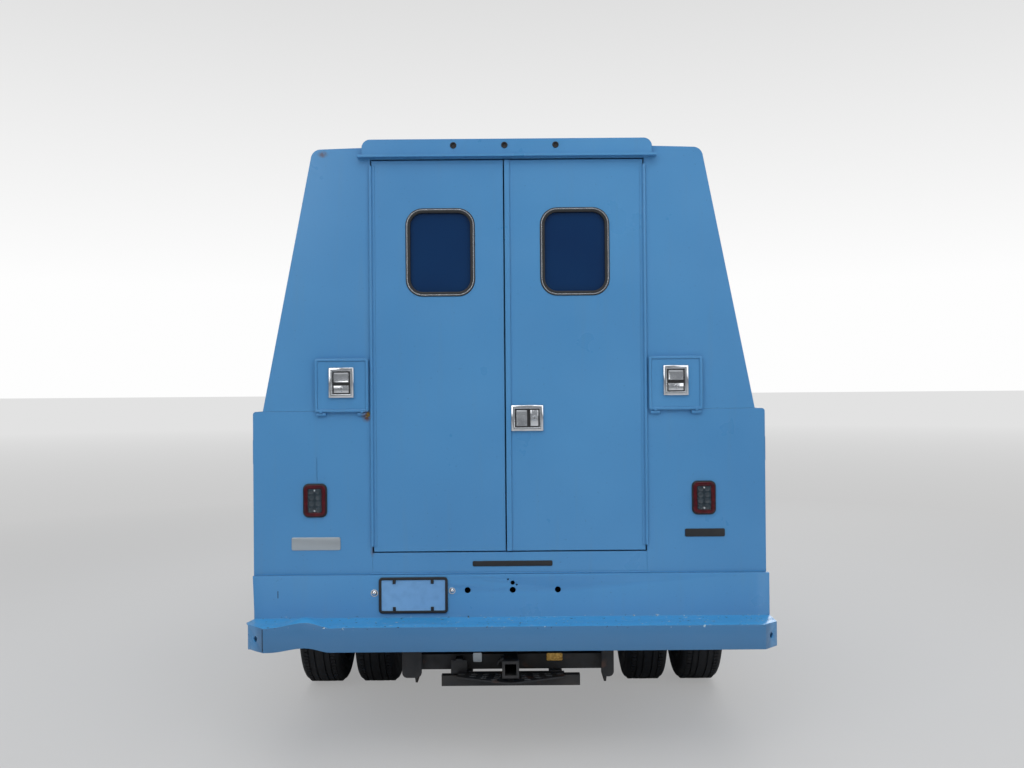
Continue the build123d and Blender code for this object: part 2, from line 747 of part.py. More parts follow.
arch_front = y_rear_axle + arch_radius
arch_rear = y_rear_axle - arch_radius
arch_top = tyre_radius + arch_radius
pack_bays = {
    "rear": (y_rear + pack_wall, arch_rear - pack_wall, pack_bottom + pack_wall),
    "middle": (arch_rear, arch_front, arch_top + pack_wall),
    "front": (arch_front + pack_wall, y_body_front - pack_wall, pack_bottom + pack_wall),
}
bay_top = shoulder_height - pack_wall
door_top = shoulder_height - side_door_border

with BuildPart() as side_pack:
    block((pack_inner, body_half_width), (y_rear, y_body_front), (pack_bottom, shoulder_height))
    for y_low, y_high, z_low in pack_bays.values():
        block((pack_inner + pack_wall, body_half_width - pack_wall), (y_low, y_high), (z_low, bay_top),
              mode=Mode.SUBTRACT)
        border = side_door_border - pack_wall
        block((body_half_width - 2 * pack_wall, body_half_width + 1), (y_low + border, y_high - border),
              (z_low + border, door_top), mode=Mode.SUBTRACT)
    with Locations(Plane(origin=(body_half_width, y_rear_axle, tyre_radius), z_dir=(1, 0, 0))):
        Cylinder(arch_radius + arch_lip, 2 * arch_flare)
        Cylinder(arch_radius, 3 * body_half_width, mode=Mode.SUBTRACT)
    block((0, 2 * body_half_width), (y_tail, y_nose), (-pack_bottom, pack_bottom), mode=Mode.SUBTRACT)
    fillet(side_pack.edges().filter_by(Axis.Y).group_by(Axis.Z)[-1].sort_by(Axis.X)[-1], 14)
for side, name in sides:
    write(on_side(side_pack.part, side), f"side_pack_{name}")


def side_door(bay):
    """A flush compartment door, hung on its outer upright edge, or on its top edge over the wheel."""
    y_low, y_high, z_low = pack_bays[bay]
    border = side_door_border - pack_wall + door_gap
    y_low, y_high, z_low = y_low + border, y_high - border, z_low + border
    z_high = door_top - door_gap
    face = body_half_width
    back = face - side_door_thickness
    pin_x = face + side_hinge_radius + pin_clearance
    with BuildPart() as door:
        block((back, face), (y_low, y_high), (z_low, z_high))
        frame = side_door_frame
        block((back - 1, face - side_door_sheet), (y_low + frame, y_high - frame),
              (z_low + frame, z_high - frame), mode=Mode.SUBTRACT)
        if bay == "middle":
            for y in (y_low + side_hinge_inset, y_high - side_hinge_inset):
                hinge((pin_x, y, z_high + door_gap), (0, 0, -1), (-1, 0, 0), side_hinge_length,
                      side_hinge_radius)
        else:
            y_pin, reach = (y_low - door_gap, 1) if bay == "rear" else (y_high + door_gap, -1)
            for z in (z_low + side_hinge_inset, z_high - side_hinge_inset):
                hinge((pin_x, y_pin, z), (0, reach, 0), (-1, 0, 0), side_hinge_length, side_hinge_radius)
    return door.part


for bay in pack_bays:
    for side, name in sides:
        write(on_side(side_door(bay), side), f"{bay}_locker_door_{name}")

# ================================================================ utility body: upper walls and roof
upper_half_width = body_half_width - shoulder_step
lean = (upper_half_width - roof_half_width) / (roof_height - shoulder_height)


def upper_half(z):
    """Half width of the upper body's outside at a height."""
    return upper_half_width - lean * (z - shoulder_height)


def upper_section(y, inset, bottom, corner):
    """The upper body's closed cross-section, set in by a wall, facing the rear."""
    side_inset = inset * hypot(1, lean)
    top = roof_height - inset
    low = upper_half(bottom) - side_inset
    high = upper_half(top) - side_inset
    with BuildSketch(Plane.XZ.offset(-y)) as section:
        with BuildLine():
            Polyline((-high, top - roof_crown), (-low, bottom), (low, bottom), (high, top - roof_crown))
            ThreePointArc((high, top - roof_crown), (0, top), (-high, top - roof_crown))
        make_face()
        fillet(section.vertices().group_by(Axis.Y)[-1], corner)
    return section.sketch


roof_corner = 46.0
roof_joint = 120.0            # height of the roof panel's turned-down edge

with BuildPart() as upper_shell:
    extrude(upper_section(y_body_front, 0, shoulder_height + pin_clearance, roof_corner),
            amount=body_length)
    extrude(upper_section(y_body_front - wall, wall, shoulder_height, roof_corner - wall / 2),
            amount=body_length, mode=Mode.SUBTRACT)

roof_cut = roof_height - roof_joint
with BuildPart() as body_roof:
    add(upper_shell.part)
    block((-body_half_width, body_half_width), (y_rear - 1, y_body_front + 1),
          (shoulder_height - 1, roof_cut), mode=Mode.SUBTRACT)
    block((-body_half_width, body_half_width), (y_rear - 1, y_rear + rear_panel + pin_clearance),
          (shoulder_height - 1, roof_height + 1), mode=Mode.SUBTRACT)
write(body_roof.part, "body_roof")

with BuildPart() as upper_walls:
    add(upper_shell.part)
    block((-body_half_width, body_half_width), (y_rear - 1, y_body_front + 1),
          (roof_cut - pin_clearance, roof_height + 1), mode=Mode.SUBTRACT)
    block((-body_half_width, body_half_width), (y_rear - 1, y_rear + rear_panel + pin_clearance),
          (shoulder_height - 1, roof_height + 1), mode=Mode.SUBTRACT)
front_wall_y = y_body_front - wall
with BuildPart() as front_wall:
    add(upper_walls.part)
    block((-body_half_width, body_half_width), (y_rear - 1, front_wall_y),
          (shoulder_height - 1, roof_height + 1), mode=Mode.SUBTRACT)
    block((-pack_inner + pin_clearance, pack_inner - pin_clearance), (front_wall_y, y_body_front),
          (rail_top + sill_height, shoulder_height + 2))
write(front_wall.part, "front_wall")
with BuildPart() as side_walls:
    add(upper_walls.part)
    block((-body_half_width, body_half_width), (front_wall_y - pin_clearance, y_body_front + 1),
          (shoulder_height - 1, roof_height + 1), mode=Mode.SUBTRACT)
write(side_walls.part, "upper_walls")

# ================================================================ rear frame
small_opening = small_door_size - 2 * small_door_lip
with BuildPart() as rear_frame:
    extrude(upper_section(y_rear + rear_panel, 0, shoulder_height + pin_clearance, roof_corner),
            amount=rear_panel)
    block((-doorway_half_width, doorway_half_width), (y_rear - 1, y_rear + rear_panel + 1),
          (floor_height, doorway_top), mode=Mode.SUBTRACT)
    inner = pack_inner - pin_clearance
    block((-inner, inner), (y_rear, y_rear + portal_depth), (sill_bottom, floor_height))
    y_stop = y_rear + rear_door_thickness + 2
    stop_half = doorway_half_width - portal_stop
    block((-inner, inner), (y_stop, y_rear + portal_depth), (floor_height, shoulder_height + 1))
    block((-inner - portal_stop, inner + portal_stop), (rear_panel + y_rear - 2, y_rear + portal_depth),
          (shoulder_height + pin_clearance, doorway_top + 8))
    block((-stop_half, stop_half), (y_rear + rear_panel - 3, y_rear + portal_depth + 1),
          (floor_height + portal_stop, doorway_top - portal_stop), mode=Mode.SUBTRACT)
    block((-doorway_half_width, doorway_half_width), (y_rear + rear_panel - 3, y_stop),
          (floor_height, doorway_top), mode=Mode.SUBTRACT)
    for side in (left, right):
        x = side * small_door_x
        half = small_opening / 2
        block((x - half, x + half), (y_rear - 1, y_rear + rear_panel + 1),
              (small_door_z - half, small_door_z + half), mode=Mode.SUBTRACT)
    with BuildSketch(Plane.XZ.offset(-y_rear - rear_panel)) as header:
        with BuildLine():
            Polyline((-header_half_width, doorway_top + 4), (header_half_width, doorway_top + 4),
                     (header_half_width, header_top), (-header_half_width, header_top), close=True)
        make_face()
        fillet(header.vertices().group_by(Axis.Y)[-1], header_corner)
    extrude(amount=rear_panel + header_depth)
    rail_end = header_half_width + drip_reach
    block((-rail_end, rail_end), (y_rear - header_depth - drip_rail, y_rear + 1),
          (doorway_top + 4, doorway_top + 4 + drip_rail))
    for index in (-1, 0, 1):
        place = (marker_x + index * marker_spacing, y_rear - header_depth, header_top - marker_drop)
        with Locations(Plane(origin=place, z_dir=(0, -1, 0))):
            Cylinder(marker_radius, header_depth, mode=Mode.SUBTRACT)
write(rear_frame.part, "rear_frame")

# ================================================================ rear doors
door_bottom = floor_height + door_gap
door_crown = doorway_top - door_gap
door_edge = doorway_half_width - door_gap
split_x = -16.0               # where the two doors meet
hinge_pin_y = y_rear - piano_radius - pin_clearance
door_frame = 50.0             # solid border of the hollow-backed doors
door_sheet = 8.0


def rear_door(door_meet, astragal):
    """A right-hand rear door: a hollow-backed panel with a window and a full-height hinge."""
    with BuildPart() as door:
        block((door_meet, door_edge), (y_rear, y_rear + rear_door_thickness), (door_bottom, door_crown))
        block((door_meet + door_frame, door_edge - door_frame),
              (y_rear + door_sheet, y_rear + rear_door_thickness + 1),
              (door_bottom + door_frame, window_centre_z - window_height / 2 - door_frame),
              mode=Mode.SUBTRACT)
        with BuildSketch(Plane.XZ.offset(-y_rear - rear_door_thickness - 1)):
            with Locations((window_centre_x, window_centre_z)):
                RectangleRounded(window_width, window_height, window_corner)
        extrude(amount=rear_door_thickness + 2, mode=Mode.SUBTRACT)
        hinge((doorway_half_width, hinge_pin_y, (door_bottom + door_crown) / 2), (-1, 0, 0), (0, 1, 0),
              door_crown - door_bottom - door_frame, piano_radius, strap=piano_leaf, plate=3)
        if astragal:
            block((door_meet, door_meet + astragal_width), (y_rear - astragal_thickness, y_rear + 1),
                  (door_bottom, door_crown))
    return door.part


write(rear_door(split_x + door_gap / 2, True), "rear_door_right")
write(on_side(rear_door(-split_x + door_gap / 2, False), left), "rear_door_left")

with BuildPart() as rear_glass:
    with BuildSketch(Plane.XZ.offset(-y_rear - glass_set_back)):
        with Locations((window_centre_x, window_centre_z)):
            RectangleRounded(window_width - 2 * pin_clearance, window_height - 2 * pin_clearance,
                             window_corner - pin_clearance)
    extrude(amount=glass_thickness)
for side, name in sides:
    write(on_side(rear_glass.part, side), f"rear_glass_{name}")

latch_x = 86.0
latch_z = 1574.0
latch_width = 149.0
latch_height = 121.0
latch_depth = 14.0
latch_flange = 16.0           # bevelled flange round the dish
latch_sink = 9.0              # depth of the dish
latch_gap = 9.0               # slot between the paddle and the lock plate
paddle_share = 0.56
lock_radius = 11.0


def paddle_latch(x, z, face, width, height, lying):
    """A flanged dish that holds a paddle and a lock plate, side by side or one above the other."""
    front = face - latch_depth
    with BuildPart() as latch:
        block((x - width / 2, x + width / 2), (front, face), (z - height / 2, z + height / 2))
        chamfer(latch.faces().sort_by(Axis.Y)[0].edges(), latch_flange / 4)
        dish_x, dish_z = width / 2 - latch_flange, height / 2 - latch_flange
        block((x - dish_x, x + dish_x), (front - 1, front + latch_sink), (z - dish_z, z + dish_z),
              mode=Mode.SUBTRACT)
        inner_x, inner_z = dish_x - 3, dish_z - 3
        split = paddle_share * 2
        if lying:
            paddle = ((x - inner_x, x - inner_x + split * inner_x), (z - inner_z, z + inner_z))
            plate = ((x - inner_x + split * inner_x + latch_gap, x + inner_x), (z - inner_z, z + inner_z))
        else:
            paddle = ((x - inner_x, x + inner_x), (z + inner_z - split * inner_z, z + inner_z))
            plate = ((x - inner_x, x + inner_x), (z - inner_z, z + inner_z - split * inner_z - latch_gap))
        floor = front + latch_sink
        block(paddle[0], (front + 1, floor + 1), paddle[1])
        block(plate[0], (front + 4, floor + 1), plate[1])
        lock = (sum(plate[0]) / 2, front + 3, sum(plate[1]) / 2)
        with Locations(Plane(origin=lock, z_dir=(0, -1, 0))):
            Cylinder(lock_radius, 4)
    return latch.part


write(paddle_latch(latch_x, latch_z, y_rear - pin_clearance, latch_width, latch_height, True), "rear_latch")

# ================================================================ small rear doors
small_pin_y = y_rear - hinge_radius - pin_clearance
small_low = small_door_z - small_door_size / 2
with BuildPart() as small_door:
    half = small_door_size / 2
    block((small_door_x - half, small_door_x + half), (y_rear - 1 - small_door_thickness, y_rear - 1),
          (small_door_z - half, small_door_z + half))
    fillet(small_door.edges().filter_by(Axis.Y), small_door_corner)
    field = half - small_door_rim
    face = y_rear - 1 - small_door_thickness
    block((small_door_x - field, small_door_x + field), (face - 1, face + small_door_sink),
          (small_door_z - field, small_door_z + field), mode=Mode.SUBTRACT)
    for x in (small_door_x - half + small_hinge_inset, small_door_x + half - small_hinge_inset):
        hinge((x, small_pin_y, small_low - hinge_radius), (0, 0, 1), (0, 1, 0), small_hinge_length,
              hinge_radius, strap=small_hinge_strap, sink=-1.5)
small_latch_width = 116.0
small_latch_height = 140.0
small_latch_lift = 12.0       # above the door's middle
small_latch = paddle_latch(small_door_x, small_door_z + small_latch_lift,
                           face + small_door_sink - pin_clearance, small_latch_width, small_latch_height,
                           False)
for side, name in sides:
    write(on_side(small_door.part, side), f"small_door_{name}")
    write(on_side(small_latch, side), f"small_latch_{name}")

# ================================================================ tail lamps
lamp_x = 906.0
lamp_z = 1197.0
lamp_width = 112.0
lamp_height = 158.0
lamp_depth = 16.0
lamp_rim = 22.0               # reflector round the lens
lamp_sink = 4.0
with BuildPart() as tail_lamps:
    for side in (left, right):
        with BuildSketch(Plane.XZ.offset(-y_rear + pin_clearance)):
            with Locations((side * lamp_x, lamp_z)):
                RectangleRounded(lamp_width, lamp_height, lamp_rim)
        extrude(amount=lamp_depth)
        with BuildSketch(Plane.XZ.offset(-y_rear + pin_clearance + lamp_depth)):
            with Locations((side * lamp_x, lamp_z)):
                RectangleRounded(lamp_width - 2 * lamp_rim, lamp_height - 2 * lamp_rim, lamp_sink)
        extrude(amount=-lamp_sink, mode=Mode.SUBTRACT)
write(tail_lamps.part, "tail_lamps")

# ================================================================ cab
y_screen_top = y_cowl - screen_rake
y_roof_rear = y_cab_rear + cab_back_lean
y_door_front = y_front_axle - cab_door_front
y_door_rear = y_door_front - cab_door_length


def cab_form(inset):
    """The cab's outer form, set in by a wall: a side view crossed with a front view."""
    with BuildPart() as form:
        with BuildSketch(Plane.YZ.offset(-cab_half_width)) as side_view:
            with BuildLine():
                Polyline((y_screen_top, cab_roof), (y_cowl, cowl_height), (y_cowl - cowl_lean, cab_floor),
                         (y_cowl - 2 * cowl_lean, rocker_bottom), (y_cab_rear, rocker_bottom),
                         (y_cab_rear, belt_height), (y_roof_rear, cab_roof))
                ThreePointArc((y_roof_rear, cab_roof),
                              ((y_roof_rear + y_screen_top) / 2, cab_roof + cab_crown),
                              (y_screen_top, cab_roof))
            make_face()
            if inset:
                offset(amount=-inset, kind=Kind.INTERSECTION)
            fillet(side_view.vertices().group_by(Axis.Y)[-1], roof_edge - inset)
        extrude(amount=2 * cab_half_width, dir=(1, 0, 0))
        with BuildSketch(Plane.XZ.offset(-y_nose)) as front_view:
            with BuildLine():
                tuck = cab_half_width - rocker_tuck
                Polyline((cab_roof_half_width, cab_roof - cab_crown),
                         (cab_half_width - belt_tuck, belt_height), (cab_half_width, belt_height - belt_roll),
                         (cab_half_width, rocker_bottom + rocker_height), (tuck, rocker_bottom),
                         (-tuck, rocker_bottom), (-cab_half_width, rocker_bottom + rocker_height),
                         (-cab_half_width, belt_height - belt_roll),
                         (-cab_half_width + belt_tuck, belt_height),
                         (-cab_roof_half_width, cab_roof - cab_crown))
                ThreePointArc((-cab_roof_half_width, cab_roof - cab_crown), (0, cab_roof + cab_crown / 2),
                              (cab_roof_half_width, cab_roof - cab_crown))
            make_face()
            if inset:
                offset(amount=-inset, kind=Kind.INTERSECTION)
            fillet(front_view.vertices().group_by(Axis.Y)[-1], roof_edge - inset)
        extrude(amount=overall_length, dir=(0, -1, 0), mode=Mode.INTERSECT)
    return form.part


def cab_door_outline(plane, gap):
    """Side view of the door and its window frame."""
    with BuildSketch(plane) as outline:
        with BuildLine():
            Polyline((y_door_rear, rocker_bottom + cab_sill), (y_door_rear, cab_roof - cab_header),
                     (y_screen_top - cab_header / 2, cab_roof - cab_header),
                     (y_door_front - cab_wall / 3, belt_height + cab_wall / 3),
                     (y_door_front, belt_height - belt_roll), (y_door_front, rocker_bottom + cab_sill),
                     close=True)
        make_face()
        if gap:
            offset(amount=-gap, kind=Kind.INTERSECTION)
    return outline.sketch


def side_window_outline(plane, gap):
    """Side view of the door's window."""
    low, high = belt_height + window_sill, cab_roof - 2 * cab_header
    with BuildSketch(plane) as outline:
        with BuildLine():
            Polyline((y_door_rear + cab_header, low), (y_door_rear + cab_header, high),
                     (y_screen_top - cab_header, high), (y_door_front - quarter_panel, low), close=True)
        make_face()
        offset(amount=-window_sill, kind=Kind.INTERSECTION)
        offset(amount=window_sill - gap)
    return outline.sketch


def screen_outline(plane, gap):
    """Front view of the windscreen opening."""
    with BuildSketch(plane) as outline:
        with BuildLine():
            low, high = belt_height + cab_header, cab_roof - cab_header
            foot = cab_half_width - screen_pillar_foot
            head = cab_roof_half_width - screen_pillar_head
            Polyline((-foot, low), (foot, low), (head, high), (-head, high), close=True)
        make_face()
        offset(amount=-screen_corner, kind=Kind.INTERSECTION)
        offset(amount=screen_corner - gap)
    return outline.sketch


def back_window_outline(plane, gap):
    """Rear view of the back window."""
    with BuildSketch(plane) as outline:
        with BuildLine():
            low, high = belt_height + back_window_sill, cab_roof - back_window_header
            head = back_window_half - belt_roll
            Polyline((-back_window_half, low), (back_window_half, low), (head, high), (-head, high),
                     close=True)
        make_face()
        offset(amount=-screen_corner, kind=Kind.INTERSECTION)
        offset(amount=screen_corner - gap)
    return outline.sketch


cab_outside = cab_form(0)
cab_inside = cab_form(cab_wall)
window_plane = Plane.XZ.offset(-y_cab_rear - cab_length / 2)
screen_plane = Plane.XZ.offset(-y_cowl - 100)

with BuildPart() as cab_hollow:
    add(cab_inside)
    block((-cab_half_width, cab_half_width), (y_cab_rear, y_cowl), (0, cab_floor), mode=Mode.SUBTRACT)

with BuildPart() as cab_shell:
    add(cab_outside)
    add(cab_hollow.part, mode=Mode.SUBTRACT)
    rocker_inner = cab_half_width - 2 * cab_wall
    block((-rocker_inner, rocker_inner), (y_cab_rear - 1, y_cowl + 1), (rocker_bottom - 1, cab_floor - floor_plate),
          mode=Mode.SUBTRACT)
    extrude(cab_door_outline(Plane.YZ, 0), amount=2 * cab_half_width, both=True, mode=Mode.SUBTRACT)
    extrude(back_window_outline(window_plane, 0), amount=cab_length, dir=(0, -1, 0), mode=Mode.SUBTRACT)
    extrude(screen_outline(screen_plane, 0), amount=cab_length / 2, dir=(0, -1, 0), mode=Mode.SUBTRACT)
    sill = cab_half_width - cab_wall - swing_gap
    block((-sill, sill), (y_cab_rear + cab_wall / 2, y_cowl - cab_wall - 10),
          (cab_floor - floor_plate, cab_floor))
    for side in (left, right):
        block(sorted((side * (sill - floor_plate), side * sill)),
              (y_cab_rear + cab_wall / 2, y_door_front + cab_wall / 3),
              (rocker_bottom + floor_plate, cab_floor - 1))
        for y in (y_cab_rear + cab_mount_rear, y_cowl - cab_mount_front):
            x = side * (rail_half_width - rail_flange / 2)
            half = cab_mount_size / 2
            block((x - half, x + half), (y - half, y + half),
                  (rail_top + pin_clearance, cab_floor - floor_plate + 1))
write(cab_shell.part, "cab_shell")

pane_skin = 14.0
with BuildPart() as pane_form:
    add(cab_form(pane_skin))
    add(cab_form(pane_skin + glass_thickness), mode=Mode.SUBTRACT)
with BuildPart() as screens:
    extrude(back_window_outline(window_plane, pin_clearance), amount=cab_length, dir=(0, -1, 0))
    extrude(screen_outline(screen_plane, pin_clearance), amount=cab_length / 2, dir=(0, -1, 0))
    add(pane_form.part, mode=Mode.INTERSECT)
write(screens.part, "cab_glass")

handle_length = 170.0
handle_height = 34.0
handle_stand = 26.0
handle_inset = 60.0           # door's rear edge to the handle
handle_drop = 96.0            # belt line to the handle
cab_pin_length = 160.0
cab_pin_rise = 260.0
cab_pin_drop = 180.0
cab_pin_radius = swing_gap / 2 - pin_clearance
cab_pin_x = cab_half_width - 4
with BuildPart() as cab_door:
    extrude(cab_door_outline(Plane.YZ, swing_gap), amount=2 * cab_half_width, dir=(1, 0, 0))
    extrude(side_window_outline(Plane.YZ, 0), amount=2 * cab_half_width, dir=(1, 0, 0),
            mode=Mode.SUBTRACT)
    add(cab_outside, mode=Mode.INTERSECT)
    add(cab_inside, mode=Mode.SUBTRACT)
    for z in (rocker_bottom + cab_pin_rise, belt_height - cab_pin_drop):
        with Locations((cab_pin_x, y_door_front - swing_gap / 2, z)):
            Cylinder(cab_pin_radius, cab_pin_length)
        block((cab_pin_x - 3, cab_pin_x + 2), (y_door_front - swing_gap - 3, y_door_front - swing_gap / 2),
              (z - cab_pin_length / 2, z + cab_pin_length / 2))
    block((cab_half_width - 3, cab_half_width + handle_stand),
          (y_door_rear + handle_inset, y_door_rear + handle_inset + handle_length),
          (belt_height - handle_drop - handle_height, belt_height - handle_drop))
with BuildPart() as cab_door_glass:
    extrude(side_window_outline(Plane.YZ, pin_clearance), amount=2 * cab_half_width, dir=(1, 0, 0))
    add(pane_form.part, mode=Mode.INTERSECT)
mirror_setback = 150.0        # behind the door's front edge
mirror_stand = 80.0           # door to the mirror head
mirror_width = 210.0
mirror_height = 290.0
mirror_depth = 70.0
mirror_lift = 60.0            # head's foot above the belt line
mirror_arm = 40.0
mirror_corner = 24.0
mirror_y = y_door_front - mirror_setback
with BuildPart() as door_mirror:
    head_in = cab_half_width + mirror_stand
    head_low = belt_height + mirror_lift
    block((head_in, head_in + mirror_width), (mirror_y - mirror_depth / 2, mirror_y + mirror_depth / 2),
          (head_low, head_low + mirror_height))
    fillet(door_mirror.edges(), mirror_corner)
    arm_y = (mirror_y - mirror_arm / 2, mirror_y + mirror_arm / 2)
    arm_x = (head_in + mirror_arm / 4, head_in + mirror_arm * 1.25)
    block((cab_half_width + pin_clearance, arm_x[1]), arm_y,
          (belt_height - mirror_lift - mirror_arm, belt_height - mirror_arm))
    block(arm_x, arm_y, (belt_height - mirror_lift, head_low + mirror_arm))
for side, name in sides:
    write(on_side(cab_door.part, side), f"cab_door_{name}")
    write(on_side(cab_door_glass.part, side), f"cab_door_glass_{name}")
    write(on_side(door_mirror.part, side), f"mirror_{name}")

# ================================================================ seat and dashboard
seat_half_width = 720.0
seat_height = 310.0           # cab floor to the cushion's top
seat_depth = 500.0
seat_back_height = 490.0
seat_back_thickness = 90.0
seat_lean = 130.0             # backrest's top behind its foot
seat_corner = 30.0
with BuildPart() as seat:
    y_seat = y_cab_rear + cab_wall + seat_back_thickness + cab_back_lean * 0.6
    seat_foot = cab_floor + pin_clearance
    seat_top = cab_floor + seat_height
    with BuildSketch(Plane.YZ.offset(-seat_half_width)) as seat_side:
        with BuildLine():
            Polyline((y_seat, seat_foot), (y_seat + seat_depth * 0.9, seat_foot),
                     (y_seat + seat_depth * 1.2, seat_top - seat_height / 4),
                     (y_seat + seat_depth * 1.2, seat_top + seat_corner / 2),
                     (y_seat + seat_lean, seat_top), (y_seat, seat_top + seat_back_height),
                     (y_seat - seat_back_thickness + 6, seat_top + seat_back_height),
                     (y_seat, seat_top - seat_height / 4), close=True)
        make_face()
        fillet(seat_side.vertices().group_by(Axis.Y)[-1], seat_corner)
    extrude(amount=2 * seat_half_width)
write(seat.part, "seat")

dash_half_width = cab_half_width - cab_wall - 40
dash_depth = 390.0            # along the truck
dash_height = 230.0
dash_drop = 44.0              # dash top below the belt line
dash_clearance = 60.0         # to the cowl's inner face
dash_leg_x = 260.0
dash_leg_width = 80.0
dash_leg_depth = 40.0
wheel_x = -380.0
column_angle = 25.0
column_radius = 28.0
column_length = 260.0
steering_wheel_radius = 190.0
steering_grip = 26.0
steering_boss_radius = 46.0
with BuildPart() as dashboard:
    y_dash = y_cowl - cab_wall - dash_clearance
    dash_top = belt_height - dash_drop
    dash_low = dash_top - dash_height
    with BuildSketch(Plane.YZ.offset(-dash_half_width)) as dash_side:
        with BuildLine():
            Polyline((y_dash, dash_low + dash_height / 3), (y_dash - dash_clearance, dash_top),
                     (y_dash - dash_depth * 0.85, dash_top - 8),
                     (y_dash - dash_depth, dash_top - dash_height * 0.36),
                     (y_dash - dash_depth * 0.77, dash_low), (y_dash - dash_depth * 0.3, dash_low),
                     close=True)
        make_face()
        chamfer(dash_side.vertices(), 14)
    extrude(amount=2 * dash_half_width)
    column = Plane(
        origin=(wheel_x, y_dash - dash_depth, dash_top - dash_height * 0.4), x_dir=(1, 0, 0),
        z_dir=(0, -cos(radians(column_angle)), sin(radians(column_angle))))
    with Locations(column):
        Cylinder(column_radius, column_length)
        with Locations((0, 0, column_length / 2 + steering_grip / 2)):
            Cylinder(steering_wheel_radius, steering_grip)
            Cylinder(steering_wheel_radius - steering_grip, steering_grip, mode=Mode.SUBTRACT)
            Cylinder(steering_boss_radius, steering_grip)
            with PolarLocations(steering_wheel_radius / 2, 3, start_angle=90):
                Box(steering_wheel_radius - steering_grip / 2, steering_grip, steering_grip / 2)
    for side in (left, right):
        x = side * dash_leg_x
        y_leg = y_dash - dash_depth / 2 + dash_leg_depth
        block((x - dash_leg_width / 2, x + dash_leg_width / 2), (y_leg, y_leg + dash_leg_depth),
              (cab_floor + pin_clearance, dash_low + 10))
write(dashboard.part, "dashboard")

# ================================================================ front end
y_face = y_nose - nose_inset
y_bumper_end = y_nose - front_bumper_wrap
wing_bottom = 700.0
wing_foot = wing_bottom - 60
nose_roll = 65.0              # bonnet's bevelled front edge
crown_edge = 18.0             # bonnet's crown down to its side edges
crown_shoulder = 50.0
flat_nose = 560.0             # half width of the nose's flat middle
corner_width = 130.0          # rounded corner of the nose, in plan
corner_length = 220.0
corner_bow = 50.0
shoulder_drop_front = 140.0   # bonnet's crown to the wings' upright sides
shoulder_width_front = 60.0


def front_form(inset):
    """The bonnet and wings as one form, set in by a skin: side, front and plan views crossed."""
    with BuildPart() as form:
        with BuildSketch(Plane.YZ) as side_view:
            with BuildLine():
                Polyline((y_door_front, wing_foot), (y_door_front, cowl_height), (y_cowl, cowl_height),
                         (y_face - nose_roll, nose_height), (y_face, nose_height - nose_roll),
                         (y_face, wing_foot), close=True)
            make_face()
            if inset:
                offset(amount=-inset, kind=Kind.INTERSECTION)
        extrude(amount=2 * cab_half_width, both=True)
        with BuildSketch(Plane.XZ.offset(-y_nose)) as front_view:
            with BuildLine():
                Polyline((-cab_half_width, rocker_bottom), (cab_half_width, rocker_bottom),
                         (cab_half_width, cowl_height - shoulder_drop_front),
                         (cab_half_width - shoulder_width_front, cowl_height - crown_shoulder),
                         (bonnet_half_width, cowl_height - crown_edge), (0, cowl_height),
                         (-bonnet_half_width, cowl_height - crown_edge),
                         (-cab_half_width + shoulder_width_front, cowl_height - crown_shoulder),
                         (-cab_half_width, cowl_height - shoulder_drop_front), close=True)
            make_face()
            if inset:
                offset(amount=-inset, kind=Kind.INTERSECTION)
        extrude(amount=overall_length, dir=(0, -1, 0), mode=Mode.INTERSECT)
        with BuildSketch(Plane.XY) as plan:
            with BuildLine():
                Polyline((-cab_half_width, 0), (-cab_half_width, y_face - corner_length),
                         (-cab_half_width + corner_width, y_face - corner_bow),
                         (-flat_nose, y_face), (flat_nose, y_face),
                         (cab_half_width - corner_width, y_face - corner_bow),
                         (cab_half_width, y_face - corner_length), (cab_half_width, 0), close=True)
            make_face()
            if inset:
                offset(amount=-inset, kind=Kind.INTERSECTION)
        extrude(amount=cab_roof, dir=(0, 0, 1), mode=Mode.INTERSECT)
    return form.part


front_outside = front_form(0)
front_inside = front_form(skin)
y_bonnet_rear = y_cowl + swing_gap
bonnet_pin_z = cowl_height - bonnet_pin_drop
y_bonnet_pin = y_cowl + bonnet_pin_radius + pin_clearance
face_low = 890.0
face_high = nose_height - 80
lamp_inner = 640.0
lamp_wrap = 320.0             # how far the lamps reach round the corners
lamp_shell = 60.0
grille_side = 40.0            # frame of the grille
grille_edge = 30.0
grille_bar = 16.0
grille_depth = 50.0
face_depth = 150.0

with BuildPart() as front_skin:
    add(front_outside)
    add(front_inside, mode=Mode.SUBTRACT)
    inner = cab_half_width - skin
    block((-inner, inner), (y_door_front - 1, y_face - skin), (rocker_bottom, wing_bottom),
          mode=Mode.SUBTRACT)
    block((-inner, inner), (y_door_front - 1, y_door_front + skin + 1), (rocker_bottom, cowl_height - skin),
          mode=Mode.SUBTRACT)

with BuildPart() as bonnet:
    add(front_skin.part)
    block((-bonnet_half_width, bonnet_half_width), (y_bonnet_rear, y_nose),
          (face_high + swing_gap, cab_roof), mode=Mode.INTERSECT)
    for side in (left, right):
        with Locations(Plane(origin=(side * bonnet_pin_x, y_bonnet_pin, bonnet_pin_z), z_dir=(1, 0, 0))):
            Cylinder(bonnet_pin_radius, bonnet_pin_length)
write(bonnet.part, "bonnet")

